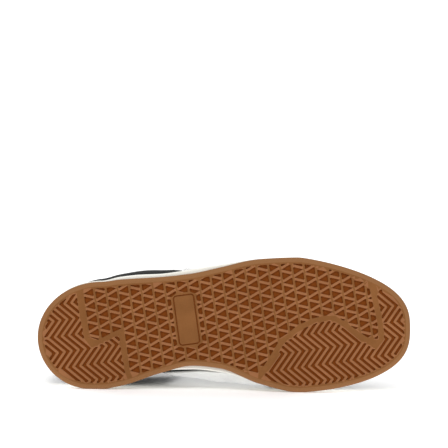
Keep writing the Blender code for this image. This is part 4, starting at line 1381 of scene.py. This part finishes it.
# Stitches: their length as a share of the pitch, and the thread's radius
CUP_STITCH = (0.84, 0.5)
# The footbed's rounded rim and dished top: distance in from its outline, height
FOOTBED_STATIONS = 90
FOOTBED_THREAD = 1.5
FOOTBED_PROFILE = (
    (0.0, 0.0),
    (0.0, 2.4),
    (0.15, 2.9),
    (0.5, 3.3),
    (1.2, INSOLE_THICK),
    (4.0, 3.3),
    (9.0, 2.9),
    (15.0, 2.7),
)


def side_loops(edge, rows, height, stations):
    """Loops of a moulded side, one for each row of inset and value; height works on the place and value."""
    loops = []
    for inset, value in rows:
        loop = round_loop(edge, inset, stations)
        loops.append(np.column_stack([loop, height(loop[:, 0], value)]))
    return loops


def add_moulded(surface, loops):
    """Add a stack of loops as closed bands, with faces across its first and last loop."""
    points = np.array(loops)
    surface.add_grid(points, points, wrap=True)
    surface.add(points[0], points[0], strip_quads(points.shape[1]))
    surface.add(points[-1], points[-1], strip_quads(points.shape[1]))


class SHOE_OT_midsole(bpy.types.Operator):
    """Off-white cup: its side profile carried round the outline, with stitches in the channel"""

    bl_idname = "court_shoe.midsole"
    bl_label = "Midsole"

    def execute(self, context):
        settings = context.scene.court_shoe_cup
        base = OUTSOLE_THICK + GAP
        loops = side_loops(MIDSOLE_EDGE, CUP_FOOT, lambda x, up: underside(x) + base + up, CUP_STATIONS)
        loops += side_loops(MIDSOLE_EDGE, CUP_SIDE, lambda x, drop: cup_top(x) - drop, CUP_STATIONS)
        loops += side_loops(MIDSOLE_EDGE, CUP_SIDE[-1:], lambda x, _: cup_floor(x), CUP_STATIONS)
        surface = Surface()
        add_moulded(surface, loops)
        piece = add_piece("midsole_cup", surface, [cup_finish(settings)], outward=True)
        place_piece(piece, "cupsole", "midsole")
        threads = Surface()
        for side in SIDES:
            share = np.linspace(0.0, 1.0, CHANNEL_STATIONS)
            line = inset_point(MIDSOLE_EDGE, side, share, CHANNEL_INSET)
            line = np.column_stack([line, cup_top(line[:, 0]) - CHANNEL_DROP])
            lean = np.full(len(share), CHANNEL_LEAN)
            normals = np.column_stack([edge_normal(MIDSOLE_EDGE, side, share), lean])
            add_stitches(threads, line, normals, settings.pitch / MM, CUP_STITCH)
        finish = thread_finish("cup_thread", settings.thread)
        place_piece(add_piece("midsole_stitches", threads, [finish]), "cupsole")
        return {"FINISHED"}


class SHOE_OT_insole(bpy.types.Operator):
    """Footbed: a cloth-covered sheet with a rounded rim in the cup"""

    bl_idname = "court_shoe.insole"
    bl_label = "Insole"

    def execute(self, context):
        settings = context.scene.court_shoe_cloth
        clear = CUP_WALL + UPPER_WALL + 2 * GAP
        rows = [(clear + inset, up) for inset, up in FOOTBED_PROFILE]
        loops = side_loops(MIDSOLE_EDGE, rows, lambda x, up: cup_floor(x) + GAP + up, FOOTBED_STATIONS)
        surface = Surface()
        add_moulded(surface, loops)
        finish = cloth_finish("footbed_cloth", settings.lining, settings.lining_shade, FOOTBED_THREAD)
        place_piece(add_piece("insole_footbed", surface, [finish], outward=True), "lining", "insole")
        return {"FINISHED"}


# Upper, saddles and lining

UPPER_COLUMNS = 170
UPPER_ROWS_UP = 64
SADDLE_COLUMNS = 90
SADDLE_ROWS_UP = 80
SADDLE_START = 0.1
# Stitch rows: distances in from an edge, sink into the leather, first and last climb with the count of
# points, and the thread
STITCH_ROWS = (2.2, 4.4)
STITCH_SINK = 0.25
STITCH_SPAN = (0.03, 0.97, 200)
SADDLE_STITCH = (0.8, 0.34)
# Pattern height of the whole wall, and pitch of the lining's loops
PATTERN_HEIGHT = 80.0
LINING_THREAD = 1.2
# Leather: depth of the grain in metres, roughness, and shine where it isn't the usual one
BLACK_GRAIN = (0.0003, 0.55, 0.1)
TONGUE_GRAIN = (0.0003, 0.57, 0.1)
WHITE_GRAIN = (0.00016, 0.38)
# Roundings of the wall's edges
UPPER_ROUND = 0.6
SADDLE_ROUND = 0.5
TONGUE_ROUND = 1.2


def add_wall(surface, side, share, level, distance, inside=False):
    """Add a grid at a distance outside the upper's face, seen from outside or from inside the shoe."""
    points = upper_offset(side, share, level, distance)
    places = pattern_places(along_of(share), PATTERN_HEIGHT * level)
    surface.add_grid(points, places, flip=(side == INNER) != inside)


def saddle_share(side, across, climb):
    """Share of the way round at a place of the saddle, across from its rear to its front edge and upwards."""
    rear_low, rear_high = share_of(SADDLE_REAR[side])
    front_low, front_high = share_of(SADDLE_FRONT)
    rear = rear_low * (1 - climb) + rear_high * climb
    front = front_low * (1 - climb) + front_high * climb
    return rear * (1 - across) + front * across


def saddle_level(side, share, across, climb):
    """Level at a place of the saddle, from a lower edge that rises to the rear to just under the top line."""
    foot, _, _ = section_ends(side, share)
    rear_lift, front_lift = SADDLE_LIFTS[side]
    lift = front_lift + (rear_lift - front_lift) * (1.0 - across) ** 2
    low = level_at(side, share, cup_top(foot[..., 0]) + lift)
    return low + (TOP_EDGE - low) * climb


class SHOE_OT_upper(bpy.types.Operator):
    """Black leather upper: the wall of the last with soft creases, lined inside and punched for the lace"""

    bl_idname = "court_shoe.upper"
    bl_label = "Upper"

    def execute(self, context):
        leather = context.scene.court_shoe_leather
        cloth = context.scene.court_shoe_cloth
        share = np.linspace(0.0, 1.0, UPPER_COLUMNS)[:, None]
        level = np.linspace(0.0, 1.0, UPPER_ROWS_UP)[None, :]
        surface = Surface()
        for side in SIDES:
            add_wall(surface, side, share, level, 0.0)
        colours = leather.black, leather.black_shade
        outside = leather_finish("black_leather", *colours, leather.grain, *BLACK_GRAIN)
        inside = cloth_finish("lining_cloth", cloth.lining, cloth.lining_shade, LINING_THREAD)
        piece = add_piece("upper_leather", surface, [outside, inside])
        thicken(piece, UPPER_WALL, -1.0, UPPER_ROUND)
        cutter = eyelet_cutter()
        punch(piece, cutter)
        bpy.data.objects.remove(cutter)
        place_piece(piece, "black_leather", "upper")
        return {"FINISHED"}


class SHOE_OT_saddles(bpy.types.Operator):
    """White side saddles: overlays on the upper's own face with rounded edges and stitch rows"""

    bl_idname = "court_shoe.saddles"
    bl_label = "Saddles"

    def execute(self, context):
        leather = context.scene.court_shoe_leather
        colours = leather.white, leather.white_shade
        finish = leather_finish("white_leather", *colours, leather.fine_grain, *WHITE_GRAIN)
        threads = Surface()
        cutter = eyelet_cutter()
        across = np.linspace(0.0, 1.0, SADDLE_COLUMNS)[:, None]
        climb = np.linspace(0.0, 1.0, SADDLE_ROWS_UP)[None, :]
        for side, name in zip(SIDES, ("saddle_outer", "saddle_inner")):
            share = saddle_share(side, across, climb)
            level = saddle_level(side, share, across, climb)
            surface = Surface()
            add_wall(surface, side, share, level, SADDLE_START)
            piece = add_piece(name + "_leather", surface, [finish])
            thicken(piece, OVERLAY_WALL + OVERLAY_GAP - SADDLE_START, 1.0, SADDLE_ROUND)
            punch(piece, cutter)
            place_piece(piece, "white_leather", name)
            self.add_rows(threads, side, leather.pitch / MM)
        bpy.data.objects.remove(cutter)
        thread = thread_finish("saddle_thread", leather.white_shade)
        place_piece(add_piece("saddle_stitches", threads, [thread]), "white_leather")
        return {"FINISHED"}

    def add_rows(self, threads, side, pitch):
        """Stitch rows inside the saddle's rear and front edges, two at each."""
        climb = np.linspace(*STITCH_SPAN)
        width = SADDLE_FRONT[0] - SADDLE_REAR[side][0]
        for inset in STITCH_ROWS:
            for across in (inset / width, 1.0 - inset / width):
                share = saddle_share(side, across, climb)
                level = saddle_level(side, share, across, climb)
                line = upper_offset(side, share, level, OVERLAY_GAP + OVERLAY_WALL - STITCH_SINK)
                normals = upper_normal(side, share, level)
                add_stitches(threads, line, normals, pitch, SADDLE_STITCH)


# The collar's roll: its front end and its levels, its grid, its swell with the share of the way round where
# it fades and the powers of its section, its distance from the upper's wall, and its own wall
COLLAR_FRONT = 124.0
COLLAR_LEVELS = (0.52, 0.985)
COLLAR_COLUMNS = 110
COLLAR_ROWS_UP = 26
COLLAR_SWELL = 3.4
COLLAR_FADE = 0.05
COLLAR_SKEW = 1.6
COLLAR_POWER = 0.8
COLLAR_CLEAR = 0.15
COLLAR_WALL = 0.8


class SHOE_OT_collar(bpy.types.Operator):
    """Padded collar lining: a soft roll along the inside of the top line"""

    bl_idname = "court_shoe.collar"
    bl_label = "Collar lining"

    def execute(self, context):
        cloth = context.scene.court_shoe_cloth
        surface = Surface()
        share = np.linspace(0.0, share_of(COLLAR_FRONT), COLLAR_COLUMNS)[:, None]
        up = np.linspace(0.0, 1.0, COLLAR_ROWS_UP)[None, :]
        level = COLLAR_LEVELS[0] + (COLLAR_LEVELS[1] - COLLAR_LEVELS[0]) * up
        fade = np.clip((share_of(COLLAR_FRONT) - share) / COLLAR_FADE, 0.0, 1.0) ** 0.5
        swell = COLLAR_SWELL * np.sin(math.pi * up**COLLAR_SKEW) ** COLLAR_POWER * fade
        for side in SIDES:
            add_wall(surface, side, share, level, -UPPER_WALL - COLLAR_CLEAR - swell, inside=True)
        finish = cloth_finish("collar_cloth", cloth.lining, cloth.lining_shade, LINING_THREAD)
        piece = add_piece("collar_lining", surface, [finish])
        wall = piece.modifiers.new("wall", "SOLIDIFY")
        wall.thickness = COLLAR_WALL * MM
        wall.offset = 1.0
        place_piece(piece, "lining")
        return {"FINISHED"}


# Tongue and laces


def throat_bridge(section, clearance, levels, crown):
    """Points across the throat at a section: up each side of the wall, and a crown between its edges.

    The crown is a cubic Bezier curve that leaves each edge along the wall's own slope.
    """
    share = share_of(section)
    flanks = [upper_offset(side, share, level, clearance) for side, level in zip(SIDES, levels)]
    ends = flanks[0][-1], flanks[1][-1]
    reach = CROWN_HANDLE * np.linalg.norm(ends[1] - ends[0]) / 2
    handles = []
    for side, end in zip(SIDES, ends):
        slope = upper_point(side, share, 1.0) - upper_point(side, share, CROWN_FROM)
        handles.append(end + unit(slope) * reach)
    t = np.linspace(0.0, 1.0, crown + 2)[1:-1, None]
    rest = 1.0 - t
    arch = rest**3 * ends[0] + 3 * rest**2 * t * handles[0] + 3 * rest * t**2 * handles[1] + t**3 * ends[1]
    return np.concatenate([flanks[0], arch, flanks[1][::-1]])


TONGUE_BRIDGES = 48
TONGUE_TOP_ROWS = 16
TONGUE_ACROSS = 12
TONGUE_CROWN_POINTS = 21
TONGUE_PATTERN = (110.0, 40.0)
# The tongue's padding: its height, the share of the width that it fills, the power of its section, and the
# shares of the length where it fades
TONGUE_PUFF = 2.6
PUFF_WIDTH = 0.62
PUFF_POWER = 0.7
PUFF_START = 0.25
PUFF_END = 0.06


def tongue_grid():
    """The tongue's outer face: bridges under the throat, then its free top, puffed up along its middle."""
    rows = []
    for section in np.linspace(*TONGUE_ENDS, TONGUE_BRIDGES):
        levels = []
        for side in SIDES:
            rim = rim_level(side, share_of(section))
            levels.append(np.linspace(rim + (1.0 - rim) * TONGUE_FLANK, TOP_EDGE, TONGUE_ACROSS))
        rows.append(throat_bridge(section, -UPPER_WALL - TONGUE_CLEAR, levels, TONGUE_CROWN_POINTS))
    crest = rows[-1][len(rows[-1]) // 2]
    section = rows[-1] - crest
    steps = np.array(TONGUE_TOP_STEPS)
    for reach in np.linspace(0.0, steps[-1, 0], TONGUE_TOP_ROWS + 1)[1:]:
        width, arch = (curve_through(steps[:, 0], steps[:, k], reach) for k in (1, 2))
        rows.append(crest + section * (arch, width, arch) + reach * np.array(TONGUE_LEAN))
    return np.array(rows)


class SHOE_OT_tongue(bpy.types.Operator):
    """Padded tongue: a leather-covered pad under the throat with a free rounded top"""

    bl_idname = "court_shoe.tongue"
    bl_label = "Tongue"

    def execute(self, context):
        leather = context.scene.court_shoe_leather
        cloth = context.scene.court_shoe_cloth
        grid = tongue_grid()
        along = np.linspace(0.0, 1.0, grid.shape[0])[:, None]
        across = np.linspace(-1.0, 1.0, grid.shape[1])[None, :]
        normal = unit(np.cross(np.gradient(grid, axis=1), np.gradient(grid, axis=0)))
        normal = normal * np.sign(normal[..., 2:].mean())
        puff = TONGUE_PUFF * np.clip(1.0 - (across / PUFF_WIDTH) ** 2, 0.0, 1.0) ** PUFF_POWER
        puff = puff * np.clip(along / PUFF_START, 0.0, 1.0)
        puff = puff * np.clip((1.0 - along) / PUFF_END, 0.0, 1.0) ** 0.5
        grid = grid + normal * puff[..., None]
        places = pattern_places(TONGUE_PATTERN[0] * along, TONGUE_PATTERN[1] * across)
        surface = Surface()
        surface.add_grid(grid, places, flip=True)
        colours = leather.black, leather.black_shade
        outside = leather_finish("tongue_leather", *colours, leather.grain, *TONGUE_GRAIN)
        inside = cloth_finish("tongue_cloth", cloth.lining, cloth.lining_shade, LINING_THREAD)
        piece = add_piece("tongue_padded", surface, [outside, inside])
        thicken(piece, TONGUE_THICK, -1.0, TONGUE_ROUND)
        place_piece(piece, "black_leather", "tongue")
        return {"FINISHED"}


LACE_POINTS = 72
LACE_SIDES = 18
LACE_CROWN_POINTS = 9
LACE_SHARP = 70.0
# The lace's section: powers of its flat and high sides, and its middle's height over the upper
LACE_FLAT = 0.6
LACE_HIGH = 0.8
LACE_MIDDLE = 0.7
LACE_OVER = OVERLAY_GAP + OVERLAY_WALL + 2 * GAP + LACE_MIDDLE
# The lace's way out of an eyelet and over the saddle: rise in level, distance outside the upper's face
LACE_STOPS = (
    (0.0, -4.2),
    (0.0, -1.0),
    (0.002, 1.6),
    (0.012, LACE_OVER),
    (0.04, LACE_OVER),
    (0.07, LACE_OVER),
    (0.1, LACE_OVER),
)
LACE_BRIDGE = (EYELET_LEVEL + 0.105, TOP_EDGE)
# How the lace is gathered at its holes: share of its width there, the distances from its end between which
# it widens, and the power by which it is thicker there
LACE_GATHER = 0.55
GATHER_ENDS = (4.0, 11.0)
GATHER_POWER = 0.7


def rounded(values, power):
    """Values from -1 to 1 raised to a power, with their signs kept."""
    return np.sign(values) * np.abs(values) ** power


def lace_line(section):
    """Middle line of a lace bar: up through an eyelet, over the saddle, across the tongue and down again."""
    share = share_of(section)
    ends = []
    for side in SIDES:
        points = [upper_offset(side, share, EYELET_LEVEL + rise, out) for rise, out in LACE_STOPS]
        ends.append(np.array(points))
    levels = np.array(LACE_BRIDGE)
    arch = throat_bridge(section, LACE_OVER, (levels, levels), LACE_CROWN_POINTS)
    line = np.concatenate([ends[0], arch, ends[1][::-1]])
    lengths = lengths_along(line)
    places = np.linspace(0.0, lengths[-1], LACE_POINTS)
    smooth = np.stack([curve_through(lengths, line[:, k], places, 1.0) for k in range(3)], axis=-1)
    return smooth, places


class SHOE_OT_laces(bpy.types.Operator):
    """Flat lace bars: a rounded flat section carried from eyelet to eyelet, gathered at the holes"""

    bl_idname = "court_shoe.laces"
    bl_label = "Laces"

    def execute(self, context):
        cloth = context.scene.court_shoe_cloth
        finish = lace_finish(cloth)
        half = cloth.lace_width / MM / 2
        thick = cloth.lace_thick / MM / 2
        angle = np.linspace(0.0, 2.0 * math.pi, LACE_SIDES, endpoint=False) - math.pi / 2
        flat = rounded(np.cos(angle), LACE_FLAT)
        high = rounded(np.sin(angle), LACE_HIGH)
        for number, section in enumerate(EYELETS, 1):
            line, places = lace_line(section)
            ahead, _ = lace_line(section + 1.0)
            tangent = unit(np.gradient(line, axis=0))
            run = ahead - line
            run = unit(run - (run * tangent).sum(axis=1, keepdims=True) * tangent)
            rise = np.cross(run, tangent)
            from_end = np.minimum(places, places[-1] - places)
            gather = np.interp(from_end, GATHER_ENDS, (LACE_GATHER, 1.0))
            wide = (half * gather)[:, None, None] * flat[None, :, None] * run[:, None]
            tall = (thick / gather**GATHER_POWER)[:, None, None] * high[None, :, None] * rise[:, None]
            points = line[:, None] + wide + tall
            place = pattern_places(places[:, None], half * flat[None, :])
            surface = Surface()
            surface.add_grid(points, place, wrap=True)
            for end in (0, -1):
                surface.add(points[end], place[end], [range(LACE_SIDES)])
            piece = add_piece(f"lace_{number}", surface, [finish], outward=True, sharp=LACE_SHARP)
            place_piece(piece, "lace", f"lace_bar_{number}")
        return {"FINISHED"}


# Stage

IMAGE_SIZE = 448
HEEL_PIXEL = (38.0, 337.0)
SENSOR = 36.0
CAMERA_FAR = 100.0
# Painted light: the floor's paper glows past both ends of the arch and washes out the shoe's shadow there, so
# only the arch keeps a clear shadow
ARCH_MIDDLE = -0.02
GLOW_FADE = (0.06, 0.12)
GLOW = (0.22, 0.22, 0.22)
NO_GLOW = (0.0, 0.0, 0.0)
FLOOR_WHITE = (0.95, 0.95, 0.95)
FLOOR_REACH = 40.0
FLOOR_POINTS = 9
KEY_FROM = (-0.1, -0.65, 0.85)
BOUNCE_FROM = (0.0, -0.15, -0.99)


class SHOE_OT_stage(bpy.types.Operator):
    """White floor, soft lights, and the camera that faces the sole"""

    bl_idname = "court_shoe.stage"
    bl_label = "Stage"

    def execute(self, context):
        settings = context.scene.court_shoe_stage
        self.add_floor()
        self.add_camera(context, settings)
        self.add_lights(settings)
        self.set_world(context.scene, settings)
        return {"FINISHED"}

    def add_floor(self):
        """A wide flat sheet of white paper under the shoe, with its glow."""
        reach = np.linspace(-FLOOR_REACH, FLOOR_REACH, FLOOR_POINTS)
        points = pattern_places(reach[:, None], reach[None, :])
        mesh = bpy.data.meshes.new("floor")
        mesh.from_pydata(points.reshape(-1, 3), [], grid_quads(FLOOR_POINTS, FLOOR_POINTS).tolist())
        finish = Finish("floor_paper", Roughness=0.9, Base_Color=opaque(FLOOR_WHITE), Emission_Strength=1.0)
        along = finish.parts(finish.spot())[0]
        off_arch = (along - ARCH_MIDDLE).alone("ABSOLUTE")
        glow = finish.mix(finish.span(off_arch, *GLOW_FADE), NO_GLOW, GLOW)
        mesh.materials.append(finish.drive(Emission_Color=glow))
        floor = bpy.data.objects.new("floor", mesh)
        bpy.context.scene.collection.objects.link(floor)

    def add_camera(self, context, settings):
        """A long lens along the sole's normal, placed so that the heel's back falls on its pixel."""
        pixel = settings.pixel / MM
        along = (IMAGE_SIZE / 2 - HEEL_PIXEL[0]) * pixel
        out = (HEEL_PIXEL[1] - IMAGE_SIZE / 2) * pixel
        aim = Vector(to_row((along, -out, 0.0)))
        forward, inward, upward = TURN.T
        back = Vector(-upward * math.cos(settings.above) - inward * math.sin(settings.above))
        right = Vector(forward)
        data = bpy.data.cameras.new("camera")
        data.sensor_width = SENSOR
        data.lens = SENSOR * settings.distance / (IMAGE_SIZE * settings.pixel)
        data.clip_end = CAMERA_FAR
        camera = bpy.data.objects.new("camera", data)
        camera.location = aim + back * settings.distance
        camera.rotation_euler = Matrix((right, back.cross(right), back)).transposed().to_euler()
        context.scene.collection.objects.link(camera)
        context.scene.camera = camera

    def add_lights(self, settings):
        """A broad soft light from above in front of the sole, and the light that a white floor throws up.

        The floor's light comes through the floor, so it casts no shadows.
        """
        lights = (("key", settings.key, KEY_FROM), ("bounce", settings.bounce, BOUNCE_FROM))
        for name, strength, origin in lights:
            data = bpy.data.lights.new(name, "SUN")
            data.energy = strength
            data.angle = settings.softness
            data.use_shadow = name == "key"
            light = bpy.data.objects.new(name, data)
            light.rotation_euler = Vector(origin).to_track_quat("Z", "Y").to_euler()
            bpy.context.scene.collection.objects.link(light)

    def set_world(self, scene, settings):
        """Even white light from all round, shown without a film curve."""
        world = bpy.data.worlds.new("room")
        world.use_nodes = True
        background = world.node_tree.nodes["Background"]
        background.inputs["Color"].default_value = (1.0, 1.0, 1.0, 1.0)
        background.inputs["Strength"].default_value = settings.world
        scene.world = world
        scene.view_settings.view_transform = "Standard"
        scene.view_settings.look = "None"


class SHOE_PT_panel(bpy.types.Panel):
    """Sidebar list of the shoe's pieces"""

    bl_label = "Court shoe"
    bl_idname = "SHOE_PT_panel"
    bl_space_type = "VIEW_3D"
    bl_region_type = "UI"
    bl_category = "Court shoe"

    def draw(self, context):
        for operator in OPERATORS:
            self.layout.operator(operator.bl_idname)


OPERATORS = (
    SHOE_OT_stage,
    SHOE_OT_outsole,
    SHOE_OT_midsole,
    SHOE_OT_insole,
    SHOE_OT_upper,
    SHOE_OT_saddles,
    SHOE_OT_collar,
    SHOE_OT_tongue,
    SHOE_OT_laces,
)
SETTINGS = {
    "court_shoe_gum": GumSettings,
    "court_shoe_cup": CupSettings,
    "court_shoe_leather": LeatherSettings,
    "court_shoe_cloth": ClothSettings,
    "court_shoe_stage": StageSettings,
}


def register():
    """Register the settings, operators and panel."""
    for name, group in SETTINGS.items():
        bpy.utils.register_class(group)
        setattr(bpy.types.Scene, name, bpy.props.PointerProperty(type=group))
    for item in (*OPERATORS, SHOE_PT_panel):
        bpy.utils.register_class(item)


def unregister():
    """Take the settings, operators and panel away again."""
    for item in (SHOE_PT_panel, *reversed(OPERATORS)):
        bpy.utils.unregister_class(item)
    for name, group in SETTINGS.items():
        delattr(bpy.types.Scene, name)
        bpy.utils.unregister_class(group)


def main():
    """Build the stage and every piece."""
    register()
    bpy.ops.court_shoe.stage()
    bpy.ops.court_shoe.outsole()
    bpy.ops.court_shoe.midsole()
    bpy.ops.court_shoe.insole()
    bpy.ops.court_shoe.upper()
    bpy.ops.court_shoe.saddles()
    bpy.ops.court_shoe.collar()
    bpy.ops.court_shoe.tongue()
    bpy.ops.court_shoe.laces()


if __name__ == "__main__":
    main()
